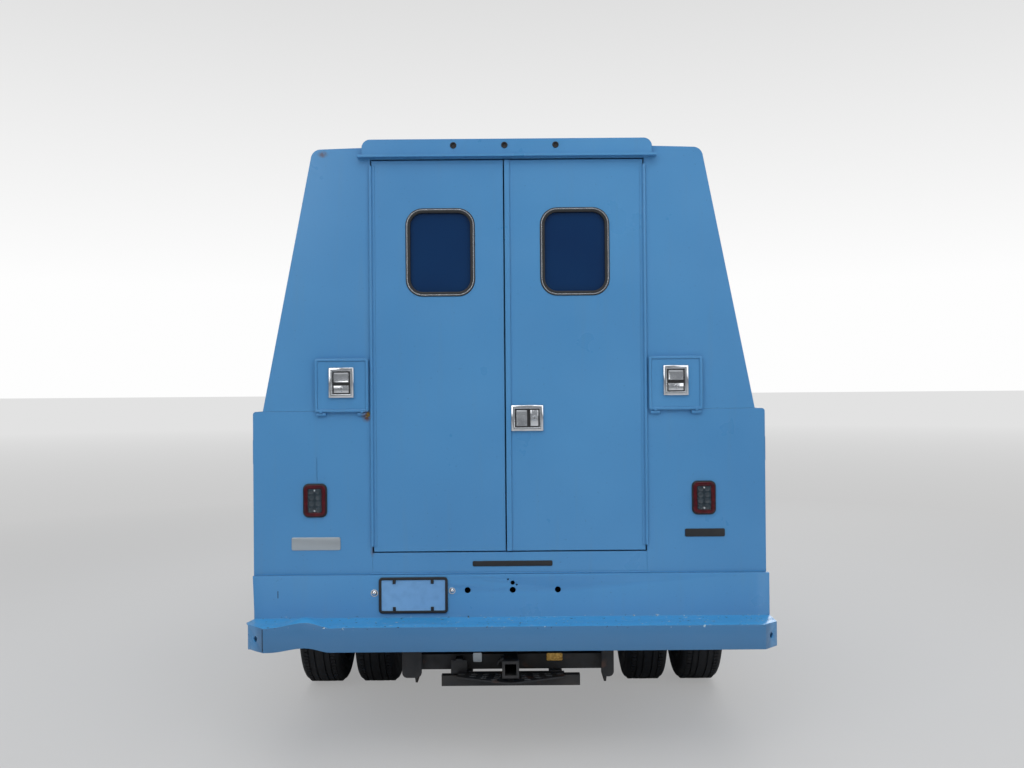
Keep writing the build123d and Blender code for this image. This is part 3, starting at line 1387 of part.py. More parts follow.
with BuildPart() as wings:
    add(front_skin.part)
    cut = bonnet_half_width + swing_gap
    block((-cut, cut), (y_door_front - 1, y_nose), (rocker_bottom, cab_roof), mode=Mode.SUBTRACT)
    block((-2 * cab_half_width, 2 * cab_half_width), (y_face - lamp_wrap, y_nose), (face_low, face_high),
          mode=Mode.SUBTRACT)
    block((-2 * cab_half_width, 2 * cab_half_width), (y_bumper_end - swing_gap, y_nose),
          (0, front_bumper_high + swing_gap), mode=Mode.SUBTRACT)
    for side in (left, right):
        place = (side * cab_half_width, y_front_axle, tyre_radius + front_arch_lift)
        with Locations(Plane(origin=place, z_dir=(1, 0, 0))):
            Cylinder(front_arch_radius + front_arch_lip, 2 * front_arch_flare)
    with Locations(Plane(origin=(0, y_front_axle, tyre_radius + front_arch_lift), z_dir=(1, 0, 0))):
        Cylinder(front_arch_radius, 3 * cab_half_width, mode=Mode.SUBTRACT)
    block((-2 * cab_half_width, 2 * cab_half_width), (y_cab_rear, y_nose), (-wing_bottom, wing_foot),
          mode=Mode.SUBTRACT)
    add(cab_outside, mode=Mode.SUBTRACT)
write(wings.part, "wings")

with BuildPart() as headlamps:
    add(front_outside)
    block((-2 * cab_half_width, 2 * cab_half_width), (y_face - lamp_wrap + pin_clearance, y_nose),
          (face_low + pin_clearance, face_high - pin_clearance), mode=Mode.INTERSECT)
    block((-lamp_inner, lamp_inner), (y_door_front, y_nose), (0, cab_roof), mode=Mode.SUBTRACT)
    add(front_form(lamp_shell), mode=Mode.SUBTRACT)
write(headlamps.part, "headlamps")

with BuildPart() as grille:
    add(front_form(4))
    block((-lamp_inner + pin_clearance, lamp_inner - pin_clearance), (y_face - face_depth, y_nose),
          (face_low, face_high), mode=Mode.INTERSECT)
    opening = (-lamp_inner + grille_side, lamp_inner - grille_side)
    block(opening, (y_face - face_depth - 1, y_face - grille_depth),
          (face_low + grille_edge, face_high - grille_edge), mode=Mode.SUBTRACT)
    slot_count = 5
    opening_height = face_high - face_low - 2 * grille_edge
    slot = (opening_height - (slot_count - 1) * grille_bar) / slot_count
    for index in range(slot_count):
        z = face_low + grille_edge + index * (slot + grille_bar)
        block(opening, (y_face - face_depth, y_nose), (z, z + slot), mode=Mode.SUBTRACT)
write(grille.part, "grille")

radiator_half_width = 600.0
radiator_core = 80.0
carrier_drop = 90.0           # lamp line to the beam that carries the front panel
carrier_depth = 60.0
y_radiator = y_face - face_depth
with BuildPart() as radiator:
    block((-radiator_half_width, radiator_half_width),
          (y_radiator - radiator_core, y_radiator - pin_clearance),
          (rail_top + pin_clearance, face_high - grille_edge))
    beam_end = cab_half_width - carrier_depth
    block((-beam_end, beam_end), (y_radiator - radiator_core, y_radiator - radiator_core / 2),
          (face_low - carrier_drop - carrier_depth, face_low - carrier_drop))
write(radiator.part, "radiator")

front_bumper_half = cab_half_width + 8
front_bumper_skin = 20.0
front_bumper_flat = 600.0     # half width of its straight middle
front_corner_width = 120.0    # its rounded corners, in plan
front_corner_bow = 60.0
front_corner_length = 190.0
valance_thickness = 8.0       # plate between the bumper's top edge and the nose
valance_lap = 60.0            # its reach behind the nose's face


def both_halves(line):
    """A right half outline from its end to the middle, followed by its mirror image."""
    return line + tuple((-x, y) for x, y in reversed(line))


def bumper_line(inset):
    """Plan of the bumper's face, set in by a distance, from its right corner to the middle."""
    half = front_bumper_half - inset
    return ((half, y_nose - front_corner_length - inset / 2),
            (half - front_corner_width + inset / 2, y_nose - front_corner_bow - inset),
            (front_bumper_flat, y_nose - inset))


def band_between(outer, inner, low):
    """A level face between two half outlines and their mirror images."""
    with BuildSketch(Plane.XY.offset(low)) as band:
        with BuildLine():
            Polyline(*both_halves(outer), *reversed(both_halves(inner)), close=True)
        make_face()
    return band.sketch


with BuildPart() as front_bumper:
    outer_end = ((front_bumper_half, y_bumper_end),)
    inner_end = ((front_bumper_half - front_bumper_skin, y_bumper_end),)
    extrude(band_between(outer_end + bumper_line(0), inner_end + bumper_line(front_bumper_skin),
                         front_bumper_low), amount=front_bumper_high - front_bumper_low)
    valance_edge = ((cab_half_width - valance_lap, y_face - corner_length - valance_lap / 2),
                    (cab_half_width - corner_width - valance_lap / 2, y_face - corner_bow - valance_lap / 2),
                    (flat_nose, y_face - valance_lap))
    extrude(band_between(bumper_line(front_bumper_skin / 2), valance_edge,
                         front_bumper_high - valance_thickness), amount=valance_thickness)
    for side in (left, right):
        x = side * (rail_half_width - rail_flange / 2)
        horn = rail_flange / 2 + 5
        block((x - horn, x + horn), (y_frame_front + pin_clearance, y_nose - front_bumper_skin / 2),
              (rail_bottom, rail_top))
write(front_bumper.part, "front_bumper")
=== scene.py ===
# %% [markdown]
# # A service truck, dressed piece by piece
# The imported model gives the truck's true sizes as a fixed frame. Everything here is placed from that
# frame, in metres: +Y is forward, +X is the truck's right and +Z is up. The lesson first lights the
# truck, then mixes its finishes, and then models the pieces that the plain solids leave out.

# %% Load the frame
import json
from math import atan2, cos, pi, radians

import bmesh
import bpy
from mathutils import Matrix, Vector


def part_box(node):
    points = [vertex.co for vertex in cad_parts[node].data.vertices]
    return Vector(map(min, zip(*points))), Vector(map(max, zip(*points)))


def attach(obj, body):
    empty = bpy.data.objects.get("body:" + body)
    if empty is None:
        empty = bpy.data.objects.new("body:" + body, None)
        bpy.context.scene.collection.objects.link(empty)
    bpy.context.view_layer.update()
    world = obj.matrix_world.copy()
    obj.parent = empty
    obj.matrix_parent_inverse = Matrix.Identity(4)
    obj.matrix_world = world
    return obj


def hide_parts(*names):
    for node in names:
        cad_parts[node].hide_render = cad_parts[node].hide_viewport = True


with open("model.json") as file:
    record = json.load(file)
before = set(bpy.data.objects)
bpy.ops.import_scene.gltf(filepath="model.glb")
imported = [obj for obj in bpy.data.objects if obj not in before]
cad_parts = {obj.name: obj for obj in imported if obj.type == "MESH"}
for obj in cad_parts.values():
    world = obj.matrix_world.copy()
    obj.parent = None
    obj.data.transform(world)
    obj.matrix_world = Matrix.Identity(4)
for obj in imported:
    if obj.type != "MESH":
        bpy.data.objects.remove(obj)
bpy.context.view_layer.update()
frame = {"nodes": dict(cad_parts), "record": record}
nodes = frame["nodes"]
scene = bpy.context.scene

# %% [markdown]
# ## Camera
# A truck is usually looked at from standing height. This camera stands behind the truck, a little
# above the bumper's middle line, and looks almost level, so the rear face stays upright. The tiny
# roll is what a hand-held camera has.

# %% Place the camera
rear_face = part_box("rear_frame")[0].y + 0.028
camera_data = bpy.data.cameras.new("camera")
camera_data.lens = 35.5
camera_data.sensor_width = 36.0
camera = bpy.data.objects.new("camera", camera_data)
scene.collection.objects.link(camera)
camera.location = (0.016, rear_face - 4.70, 1.71)
pitch, roll = radians(0.28), radians(-0.45)
camera.rotation_mode = "XYZ"
look = Matrix.Rotation(radians(90) + pitch, 4, "X")
camera.matrix_world = Matrix.Translation(camera.location) @ look @ Matrix.Rotation(roll, 4, "Z")
scene.camera = camera
print("camera", [round(value, 3) for value in camera.location])

# %% [markdown]
# ## Floor, light and background
# Soft light from large lamps keeps paint honest: broad, weak highlights show that a panel is smooth
# without hiding its colour. The floor is one big pale plane. The world looks white only to the
# camera, to glossy and to glass rays, so it never adds light of its own to the paint.

# %% Lay the floor
def remap(tree, value, *numbers):
    """Maps a socket's value from one range to another: from low, from high, to low, to high."""
    node = tree.nodes.new("ShaderNodeMapRange")
    for index, number in enumerate(numbers, start=1):
        node.inputs[index].default_value = number
    tree.links.new(value, node.inputs["Value"])
    return node.outputs["Result"]


def combine(tree, operation, first, second):
    """One sum or product of two values, where the second may be a plain number."""
    step = tree.nodes.new("ShaderNodeMath")
    step.operation = operation
    tree.links.new(first, step.inputs[0])
    if isinstance(second, float):
        step.inputs[1].default_value = second
    else:
        tree.links.new(second, step.inputs[1])
    return step.outputs[0]


def choose(tree, share, first, second, target):
    """Mixes two shaders by a share and sends the result to the output."""
    blend = tree.nodes.new("ShaderNodeMixShader")
    tree.links.new(share, blend.inputs["Fac"])
    tree.links.new(first.outputs[0], blend.inputs[1])
    tree.links.new(second.outputs[0], blend.inputs[2])
    tree.links.new(blend.outputs[0], target.inputs["Surface"])


bpy.ops.mesh.primitive_plane_add(size=600, location=(0, 0, 0))
floor = bpy.context.object
floor.name = "studio_floor"
floor_finish = bpy.data.materials.new("studio_floor")
floor_finish.use_nodes = True
floor_tree = floor_finish.node_tree
floor_shader = floor_tree.nodes["Principled BSDF"]
for socket, value in (("Base Color", (0.72, 0.72, 0.72, 1)), ("Roughness", 1.0), ("Specular IOR Level", 0.0)):
    floor_shader.inputs[socket].default_value = value
distance = floor_tree.nodes.new("ShaderNodeVectorMath")
distance.operation = "LENGTH"
floor_tree.links.new(floor_tree.nodes.new("ShaderNodeTexCoord").outputs["Object"], distance.inputs[0])
fade = remap(floor_tree, distance.outputs["Value"], 4.0, 9.0, 0.55, 1.0)
even_light = floor_tree.nodes.new("ShaderNodeEmission")
tone = remap(floor_tree, distance.outputs["Value"], 5.0, 40.0, 0.57, 0.76)
floor_tree.links.new(tone, even_light.inputs["Color"])
floor_rays = floor_tree.nodes.new("ShaderNodeLightPath")
camera_only = combine(floor_tree, "MULTIPLY", floor_rays.outputs["Is Camera Ray"], fade)
choose(floor_tree, camera_only, floor_shader, even_light, floor_tree.nodes["Material Output"])
floor.data.materials.append(floor_finish)


# %% Hang the lamps
def area_lamp(name, place, aim, size, power):
    """Adds a square soft box at a place, turned to face a point."""
    lamp_data = bpy.data.lights.new(name, "AREA")
    lamp_data.shape = "SQUARE"
    lamp_data.size = size
    lamp_data.energy = power
    lamp = bpy.data.objects.new(name, lamp_data)
    scene.collection.objects.link(lamp)
    lamp.location = place
    lamp.rotation_euler = (Vector(aim) - Vector(place)).to_track_quat("-Z", "Y").to_euler()
    return lamp


area_lamp("key_rear", (-5.0, -10.5, 6.5), (0, -2, 1.2), 6.0, 270)
area_lamp("fill_rear", (6.0, -9.5, 5.0), (0, -2, 1.2), 6.0, 190)
area_lamp("step_soft", (0.5, -7.0, 7.5), (0, -2.9, 0.65), 4.0, 110)
area_lamp("front_soft", (4.5, 9.5, 6.0), (0, 2, 1.0), 6.0, 330)
area_lamp("top_soft", (0.0, 0.0, 9.0), (0, 0, 1.0), 9.0, 330)

world = bpy.data.worlds.new("studio")
scene.world = world
world.use_nodes = True
sky_tree = world.node_tree
sky_tree.nodes.clear()
soft_sky = sky_tree.nodes.new("ShaderNodeBackground")
soft_sky.inputs["Color"].default_value = (0.93, 0.96, 1.0, 1)
soft_sky.inputs["Strength"].default_value = 0.36
seen_sky = sky_tree.nodes.new("ShaderNodeBackground")
upward = sky_tree.nodes.new("ShaderNodeSeparateXYZ")
sky_tree.links.new(sky_tree.nodes.new("ShaderNodeTexCoord").outputs["Generated"], upward.inputs["Vector"])
sky_tree.links.new(remap(sky_tree, upward.outputs["Z"], 0.10, 0.36, 0.99, 0.74), seen_sky.inputs["Color"])
rays = sky_tree.nodes.new("ShaderNodeLightPath")
seen = combine(sky_tree, "MAXIMUM", rays.outputs["Is Camera Ray"], rays.outputs["Is Transmission Ray"])
choose(sky_tree, seen, soft_sky, seen_sky, sky_tree.nodes.new("ShaderNodeOutputWorld"))
scene.view_settings.view_transform = "Standard"


# %% [markdown]
# ## Finishes
# Each finish is a small network of noise nodes in object coordinates, so its grain has a real size
# on the truck. `Finish` keeps the node tree together and offers the few steps that all of them use:
# noise, a ramp that turns noise into a mask, a mix of two colours, and a bump.

# %% A helper for mixing finishes
def srgb(red, green, blue):
    """A display colour from 0 to 255, as the linear colour that a shader takes."""
    channels = [value / 255 for value in (red, green, blue)]
    linear = [c / 12.92 if c <= 0.04045 else ((c + 0.055) / 1.055) ** 2.4 for c in channels]
    return (*linear, 1.0)


finishes = {}


class Finish:
    """A node material under construction, kept under its name in the shelf of finishes."""

    def __init__(self, name, colour, roughness, metallic=0.0, rounding=0.0):
        self.material = bpy.data.materials.new(name)
        self.material.use_nodes = True
        finishes[name] = self.material
        self.tree = self.material.node_tree
        self.nodes, self.links = self.tree.nodes, self.tree.links
        self.shader = self.nodes["Principled BSDF"]
        self.set("Base Color", colour)
        self.set("Roughness", roughness)
        self.set("Metallic", metallic)
        self.place = self.nodes.new("ShaderNodeTexCoord").outputs["Object"]
        self.normal = None
        if rounding:
            edge = self.nodes.new("ShaderNodeBevel")
            edge.samples = 4
            edge.inputs["Radius"].default_value = rounding
            self.normal = edge.outputs["Normal"]
            self.links.new(self.normal, self.shader.inputs["Normal"])

    def set(self, socket, value):
        self.shader.inputs[socket].default_value = value

    def link(self, output, socket):
        self.links.new(output, self.shader.inputs[socket])

    def stretched(self, scale):
        """Object coordinates with each axis scaled by itself, for streaks and grooves."""
        mapping = self.nodes.new("ShaderNodeMapping")
        mapping.inputs["Scale"].default_value = scale
        self.links.new(self.place, mapping.inputs["Vector"])
        return mapping.outputs["Vector"]

    def noise(self, scale, detail=3.0, place=None):
        texture = self.nodes.new("ShaderNodeTexNoise")
        texture.inputs["Scale"].default_value = scale
        texture.inputs["Detail"].default_value = detail
        self.links.new(place or self.place, texture.inputs["Vector"])
        return texture.outputs["Fac"]

    def mask(self, value, low, high, to_low=0.0, to_high=1.0):
        """Maps a value from one range to another and stops at its ends."""
        return remap(self.tree, value, low, high, to_low, to_high)

    def math(self, operation, first, second):
        return combine(self.tree, operation, first, second)

    def mix(self, share, first, second):
        """A colour between two, each a socket or a plain colour."""
        blend = self.nodes.new("ShaderNodeMix")
        blend.data_type = "RGBA"
        self.links.new(share, blend.inputs["Factor"])
        for socket, colour in (("A", first), ("B", second)):
            target = [s for s in blend.inputs if s.name == socket and s.type == "RGBA"][0]
            if isinstance(colour, tuple):
                target.default_value = colour
            else:
                self.links.new(colour, target)
        return [s for s in blend.outputs if s.type == "RGBA"][0]

    def bump(self, height, strength, distance):
        relief = self.nodes.new("ShaderNodeBump")
        relief.inputs["Strength"].default_value = strength
        relief.inputs["Distance"].default_value = distance
        self.links.new(height, relief.inputs["Height"])
        if self.normal:
            self.links.new(self.normal, relief.inputs["Normal"])
        self.normal = relief.outputs["Normal"]
        self.links.new(self.normal, self.shader.inputs["Normal"])

    def spot(self, centre, reach, low=0.4, high=1.0):
        """A soft mask round one place: one inside, nothing beyond its reach along each axis."""
        scale = tuple(1 / part for part in reach)
        mapping = self.nodes.new("ShaderNodeMapping")
        mapping.inputs["Scale"].default_value = scale
        mapping.inputs["Location"].default_value = [-a * b for a, b in zip(centre, scale)]
        self.links.new(self.place, mapping.inputs["Vector"])
        length = self.nodes.new("ShaderNodeVectorMath")
        length.operation = "LENGTH"
        self.links.new(mapping.outputs["Vector"], length.inputs[0])
        return self.mask(length.outputs["Value"], high, low)

    def along(self, axis, vector=None):
        """One axis of a vector, or of the place when none is given."""
        split = self.nodes.new("ShaderNodeSeparateXYZ")
        self.links.new(vector or self.place, split.inputs["Vector"])
        return split.outputs[axis]

    def mottle(self, first, second, scale, detail, low, high, share=(0.0, 1.0)):
        """The base colour in two tones, divided by noise."""
        tones = self.mask(self.noise(scale, detail), low, high, *share)
        self.link(self.mix(tones, first, second), "Base Color")

    def uneven(self, scale, detail, low, high, smoothest, roughest, place=None):
        """Roughness that wanders between two values."""
        self.link(self.mask(self.noise(scale, detail, place), low, high, smoothest, roughest), "Roughness")


print("finish helper ready")

# %% [markdown]
# ### Fleet paint
# The cab and the body wear one blue enamel under a clear coat. Real fleet paint is never one flat
# tone: it fades a little in large patches, holds a film of road dust low down and thin run-off
# streaks below ledges, and its clear coat has a faint orange-peel waviness.

# %% Mix the fleet paint
rust_marks = (((-0.664, -2.786, 1.589), (0.028, 0.05, 0.034), 0.95),
              ((-0.860, -2.770, 2.812), (0.030, 0.05, 0.020), 0.8),
              ((-0.640, -2.790, 0.956), (0.012, 0.05, 0.030), 0.5))


def fleet_paint(name, rounding, chipped_at=None, gloss=1.0):
    """Blue fleet enamel.

    chipped_at is the height of the bumper's edge: the edge has lost chips of its paint, the flat step
    above it gets a painted highlight for the sky's light, and its rear face below gets painted shade."""
    paint = Finish(name, srgb(73, 136, 187), 0.34, rounding=rounding)
    patches = paint.mask(paint.noise(1.1), 0.3, 0.7)
    faded = paint.mix(patches, srgb(68, 131, 183), srgb(77, 141, 192))
    streaks = paint.noise(3.0, 6.0, paint.stretched((9.0, 9.0, 0.55)))
    streak_mask = paint.math("MULTIPLY", paint.mask(streaks, 0.56, 0.82), 0.16)
    streaked = paint.mix(streak_mask, faded, srgb(92, 130, 158))
    height = paint.along("Z")
    low_dust = paint.mask(height, 0.75, 0.30)
    dust_mask = paint.math("MULTIPLY", low_dust, paint.mask(paint.noise(7.0, 8.0), 0.35, 0.8, 0.0, 0.3))
    dusty = paint.mix(dust_mask, streaked, srgb(128, 136, 140))
    specks = paint.mask(paint.noise(95.0, 2.0), 0.70, 0.76, 0.0, 0.35)
    layered_colour = paint.mix(specks, dusty, srgb(52, 92, 132))
    for centre, reach, share in rust_marks:
        ragged = paint.mask(paint.noise(60.0, 5.0), 0.35, 0.62, 0.25, share)
        rust = paint.math("MULTIPLY", paint.spot(centre, reach), ragged)
        layered_colour = paint.mix(rust, layered_colour, srgb(92, 58, 30))
    if chipped_at:
        upward = paint.along("Z", paint.nodes.new("ShaderNodeNewGeometry").outputs["Normal"])
        # Painted shade: the bumper's rear-most face, where it does not look up, is darkened.
        painted_face_shade = paint.math("MULTIPLY", paint.mask(paint.along("Y"), -2.960, -2.978),
                           paint.mask(upward, 0.75, 0.35, 0.0, 0.7))
        layered_colour = paint.mix(painted_face_shade, layered_colour, srgb(58, 104, 146))
        # Painted highlight: faces that look up, below the step's height, are lightened as if lit by the sky.
        painted_step_highlight = paint.math("MULTIPLY", paint.mask(upward, 0.35, 0.75),
                            paint.mask(height, chipped_at + 0.07, chipped_at + 0.05))
        layered_colour = paint.mix(painted_step_highlight, layered_colour, srgb(62, 150, 208))
        above = paint.mask(height, chipped_at - 0.012, chipped_at - 0.004)
        below = paint.mask(height, chipped_at + 0.010, chipped_at + 0.003)
        near_edge = paint.math("MULTIPLY", above, below)
        chips = paint.math("MULTIPLY", near_edge, paint.mask(paint.noise(55.0, 6.0), 0.63, 0.66))
        tone = paint.mix(paint.mask(paint.noise(31.0), 0.45, 0.55), srgb(20, 34, 52), srgb(176, 196, 210))
        layered_colour = paint.mix(chips, layered_colour, tone)
    paint.link(layered_colour, "Base Color")
    matt = 0.28 * (1 - gloss)
    paint.uneven(5.0, 5.0, 0.3, 0.75, 0.26 + matt, 0.44 + matt)
    paint.bump(paint.noise(160.0, 1.0), 0.05, 0.001)
    paint.set("Specular IOR Level", 0.35 * gloss)
    paint.set("Coat Weight", 0.22 * gloss * gloss)
    paint.set("Coat Roughness", 0.18)


step_z = 0.653
fleet_paint("body_paint", 0.004)
fleet_paint("roof_paint", 0.004, gloss=0.4)
# The bumper's paint also carries painted shade on its rear face and a painted highlight on its step.
fleet_paint("bumper_paint", 0.003, chipped_at=step_z)
print("mixed three fleet paints")

# %% [markdown]
# ### Black and bare metals below
# The frame and axles are painted black and then dusted by the road. Cast and stamped steel shows a
# fine grain and a little rust, most of it where water sits.

# %% Mix the chassis finishes
def road_metal(name, colour, roughness, metallic, rust, rounding=0.003):
    metal = Finish(name, colour, roughness, metallic, rounding)
    dust = metal.mask(metal.noise(6.0, 8.0), 0.42, 0.75, 0.0, 0.35)
    dusty = metal.mix(dust, colour, srgb(92, 86, 78))
    rusty = metal.mask(metal.noise(13.0, 9.0), 0.60, 0.68, 0.0, rust)
    metal.link(metal.mix(rusty, dusty, srgb(98, 58, 34)), "Base Color")
    metal.uneven(24.0, 4.0, 0.3, 0.7, roughness - 0.08, roughness + 0.14)
    metal.bump(metal.noise(240.0, 4.0), 0.25, 0.0012)


road_metal("chassis_paint", srgb(20, 22, 26), 0.55, 0.0, 0.35)
road_metal("engine_metal", srgb(74, 76, 78), 0.5, 0.6, 0.3)
road_metal("tank", srgb(24, 25, 28), 0.6, 0.0, 0.2)
road_metal("exhaust_steel", srgb(112, 104, 96), 0.45, 0.8, 0.75)
road_metal("floor_plate", srgb(118, 120, 122), 0.45, 0.5, 0.1)
print("mixed five road metals")

# %% Mix the wheel finishes
rim_finish = Finish("rim", srgb(206, 208, 208), 0.4, rounding=0.002)
brake_dust = rim_finish.mask(rim_finish.noise(9.0, 7.0), 0.35, 0.8, 0.05, 0.5)
rim_dusty = rim_finish.mix(brake_dust, srgb(206, 208, 208), srgb(112, 104, 94))
rim_rust = rim_finish.mask(rim_finish.noise(28.0, 8.0), 0.66, 0.72, 0.0, 0.7)
rim_finish.link(rim_finish.mix(rim_rust, rim_dusty, srgb(120, 66, 34)), "Base Color")
rim_finish.bump(rim_finish.noise(180.0, 3.0), 0.12, 0.001)

tyre_finish = Finish("tyre", srgb(16, 18, 23), 0.82, rounding=0.0015)
tyre_finish.mottle(srgb(15, 17, 22), srgb(58, 56, 54), 8.0, 8.0, 0.45, 0.8, (0.0, 0.3))
tyre_finish.bump(tyre_finish.noise(320.0, 4.0), 0.3, 0.001)
print("mixed rim and tyre")

# %% Mix glass, trim and bright metal
# The glass's dark blue stands partly for its own tint and partly for painted reflection of the sky.
glass = Finish("glass", srgb(8, 44, 88), 0.04)
glass.set("Transmission Weight", 0.25)
glass.set("IOR", 1.45)
glass.set("Specular IOR Level", 0.2)
glass.mottle(srgb(8, 46, 92), srgb(12, 56, 102), 1.6, 2.0, 0.35, 0.7)

trim_black = Finish("trim_black", srgb(20, 21, 24), 0.5, rounding=0.002)
trim_black.uneven(30.0, 4.0, 0.3, 0.7, 0.42, 0.62)
trim_black.bump(trim_black.noise(500.0, 2.0), 0.3, 0.0006)

seat_fabric = Finish("seat_fabric", srgb(58, 60, 66), 0.9)
seat_fabric.bump(seat_fabric.noise(420.0, 2.0), 0.5, 0.001)
seat_fabric.set("Sheen Weight", 0.3)

chrome = Finish("chrome", srgb(205, 208, 212), 0.16, 1.0, rounding=0.0012)
chrome.uneven(40.0, 5.0, 0.3, 0.75, 0.08, 0.3)
chrome.mottle(srgb(205, 208, 212), srgb(150, 152, 154), 18.0, 5.0, 0.5, 0.75, (0.0, 0.4))

brass = Finish("brass", srgb(178, 142, 74), 0.3, 1.0, rounding=0.001)
brass.mottle(srgb(184, 150, 84), srgb(118, 84, 44), 90.0, 4.0, 0.4, 0.7)

brushed_plate = Finish("brushed_plate", srgb(172, 180, 186), 0.35, 0.9, rounding=0.001)
brushed_plate.uneven(60.0, 3.0, 0.3, 0.7, 0.28, 0.46, brushed_plate.stretched((1.0, 1.0, 14.0)))

plate_sheet = Finish("plate_sheet", srgb(104, 152, 198), 0.4, rounding=0.001)
plate_sheet.mottle(srgb(112, 162, 208), srgb(90, 138, 184), 26.0, 6.0, 0.45, 0.75, (0.0, 0.5))

lamp_clear = Finish("lamp_clear", srgb(176, 186, 194), 0.08)
lamp_clear.set("Transmission Weight", 0.4)
lamp_clear.bump(lamp_clear.noise(60.0, 1.0), 0.1, 0.001)

lamp_lens = Finish("lamp_lens", srgb(44, 58, 68), 0.08)
lamp_lens.set("Alpha", 0.55)
flutes = lamp_lens.noise(3.0, 0.0, lamp_lens.stretched((90.0, 90.0, 4.0)))
lamp_lens.bump(flutes, 0.12, 0.001)

lamp_amber = Finish("lamp_amber", srgb(214, 108, 16), 0.12)
lamp_amber.mottle(srgb(200, 92, 10), srgb(228, 128, 30), 40.0, 2.0, 0.3, 0.7)
lamp_amber.set("Coat Weight", 0.6)

mirror_glass = Finish("mirror_glass", srgb(196, 204, 210), 0.03, 1.0)
mirror_glass.uneven(22.0, 5.0, 0.45, 0.8, 0.02, 0.14)

lamp_red = Finish("lamp_red", srgb(120, 12, 18), 0.12)
lamp_red.mottle(srgb(52, 6, 16), srgb(84, 12, 22), 45.0, 2.0, 0.3, 0.7)
lamp_red.set("Specular IOR Level", 0.3)
print("mixed glass, trim and bright metal")

# %% Give every solid its finish
slots = {part["node"]: part["material_slot"] for part in frame["record"]["subparts"]}
for name, node in nodes.items():
    node.data.materials.clear()
    node.data.materials.append(finishes[slots[name]])
nodes["body_roof"].data.materials[0] = finishes["roof_paint"]
print("finished solids:", len(slots))

# %% [markdown]
# ## Modelling helpers
# The small pieces are modelled the way one would by hand: add a primitive, go into edit mode, pick
# faces by where they lie or which way they point, and extrude, inset or bevel them. Operators act on
# whatever is selected, so every helper first clears the selection.

# %% Select, pick and leave
def leave():
    """Back to object mode."""
    bpy.ops.object.mode_set(mode="OBJECT")


def named(piece, name):
    """Gives a piece and its mesh one name."""
    piece.name = piece.data.name = name
    return piece


def select_only(*pieces):
    """Leaves edit mode and selects just these pieces, the last one active."""
    if bpy.context.object and bpy.context.object.mode != "OBJECT":
        leave()
    for other in bpy.context.selected_objects:
        other.select_set(False)
    for piece in pieces:
        piece.select_set(True)
        bpy.context.view_layer.objects.active = piece


def pick(piece, test, kind="FACE"):
    """Enters edit mode with only the faces or vertices selected that pass a test of place and normal."""
    select_only(piece)
    bpy.ops.object.mode_set(mode="EDIT")
    bpy.ops.mesh.select_mode(type=kind)
    bpy.ops.mesh.select_all(action="DESELECT")
    mesh = bmesh.from_edit_mesh(piece.data)
    if kind == "FACE":
        for face in mesh.faces:
            face.select_set(test(face.calc_center_median(), face.normal))
    else:
        for vertex in mesh.verts:
            vertex.select_set(test(vertex.co, vertex.normal))
    mesh.select_flush_mode()
    bmesh.update_edit_mesh(piece.data)


def rearward(place, normal):
    return normal.y < -0.9


def skyward(place, normal):
    return normal.z > 0.9


def edit_all(kind=None):
    """Enters edit mode with everything selected, by faces or by vertices."""
    bpy.ops.object.mode_set(mode="EDIT")
    if kind:
        bpy.ops.mesh.select_mode(type=kind)
    bpy.ops.mesh.select_all(action="SELECT")


def settle(piece):
    """Back to object mode, with the piece's place in its mesh."""
    select_only(piece)
    bpy.ops.object.transform_apply(location=True, rotation=True, scale=True)
    return piece


def start_block(name, low, high):
    """A cube stretched between two corners, the start of most pressed and cast pieces."""
    select_only()
    middle = [(a + b) / 2 for a, b in zip(low, high)]
    bpy.ops.mesh.primitive_cube_add(size=1, location=middle)
    piece = bpy.context.object
    named(piece, name)
    bpy.ops.transform.resize(value=[b - a for a, b in zip(low, high)])
    return settle(piece)


def use_modifier(piece, kind, **settings):
    """Adds a modifier, sets it and applies it."""
    select_only(piece)
    modifier = piece.modifiers.new(kind.lower(), kind)
    for key, value in settings.items():
        setattr(modifier, key, value)
    bpy.ops.object.modifier_apply(modifier=modifier.name)
    return piece


def round_edges(piece, width, segments=2, angle=40):
    """Rounds every edge that is sharper than an angle."""
    return use_modifier(piece, "BEVEL", width=width, segments=segments, limit_method="ANGLE",
                        angle_limit=radians(angle))


def placed(piece, matrix):
    """Moves and turns a piece by a matrix, and keeps the result in its mesh."""
    piece.matrix_world = matrix @ piece.matrix_world
    return settle(piece)


def stood(piece, place, matrix=Matrix.Identity(4)):
    """Turns a piece built at the origin and stands it at its place."""
    return placed(piece, Matrix.Translation(place) @ matrix)


def turned(name, centre, axis, profile, segments=32):
    """Turns a profile of (along the axis, radius) pairs about an axis, as on a lathe.

    It starts from a circle on the bench, extrudes it from one point of the profile to the next, and
    then sets the finished piece on its axis. Vertices are selected, because a circle has no faces."""
    select_only()
    along, radius = profile[0][0], max(profile[0][1], 1e-5)
    bpy.ops.mesh.primitive_circle_add(vertices=segments, radius=radius, location=(0, 0, along))
    piece = settle(bpy.context.object)
    named(piece, name)
    edit_all("VERT")
    for next_along, next_radius in profile[1:]:
        next_radius = max(next_radius, 1e-5)
        bpy.ops.mesh.extrude_region_move(TRANSFORM_OT_translate={"value": (0, 0, next_along - along)})
        ratio = next_radius / radius
        if abs(ratio - 1) > 1e-6:
            bpy.ops.transform.resize(value=(ratio, ratio, 1), center_override=(0, 0, next_along))
        along, radius = next_along, next_radius
    bpy.ops.mesh.select_all(action="SELECT")
    bpy.ops.mesh.remove_doubles(threshold=2e-5)
    bpy.ops.mesh.normals_make_consistent(inside=False)
    leave()
    return stood(piece, centre, Vector(axis).to_track_quat("Z", "Y").to_matrix().to_4x4())


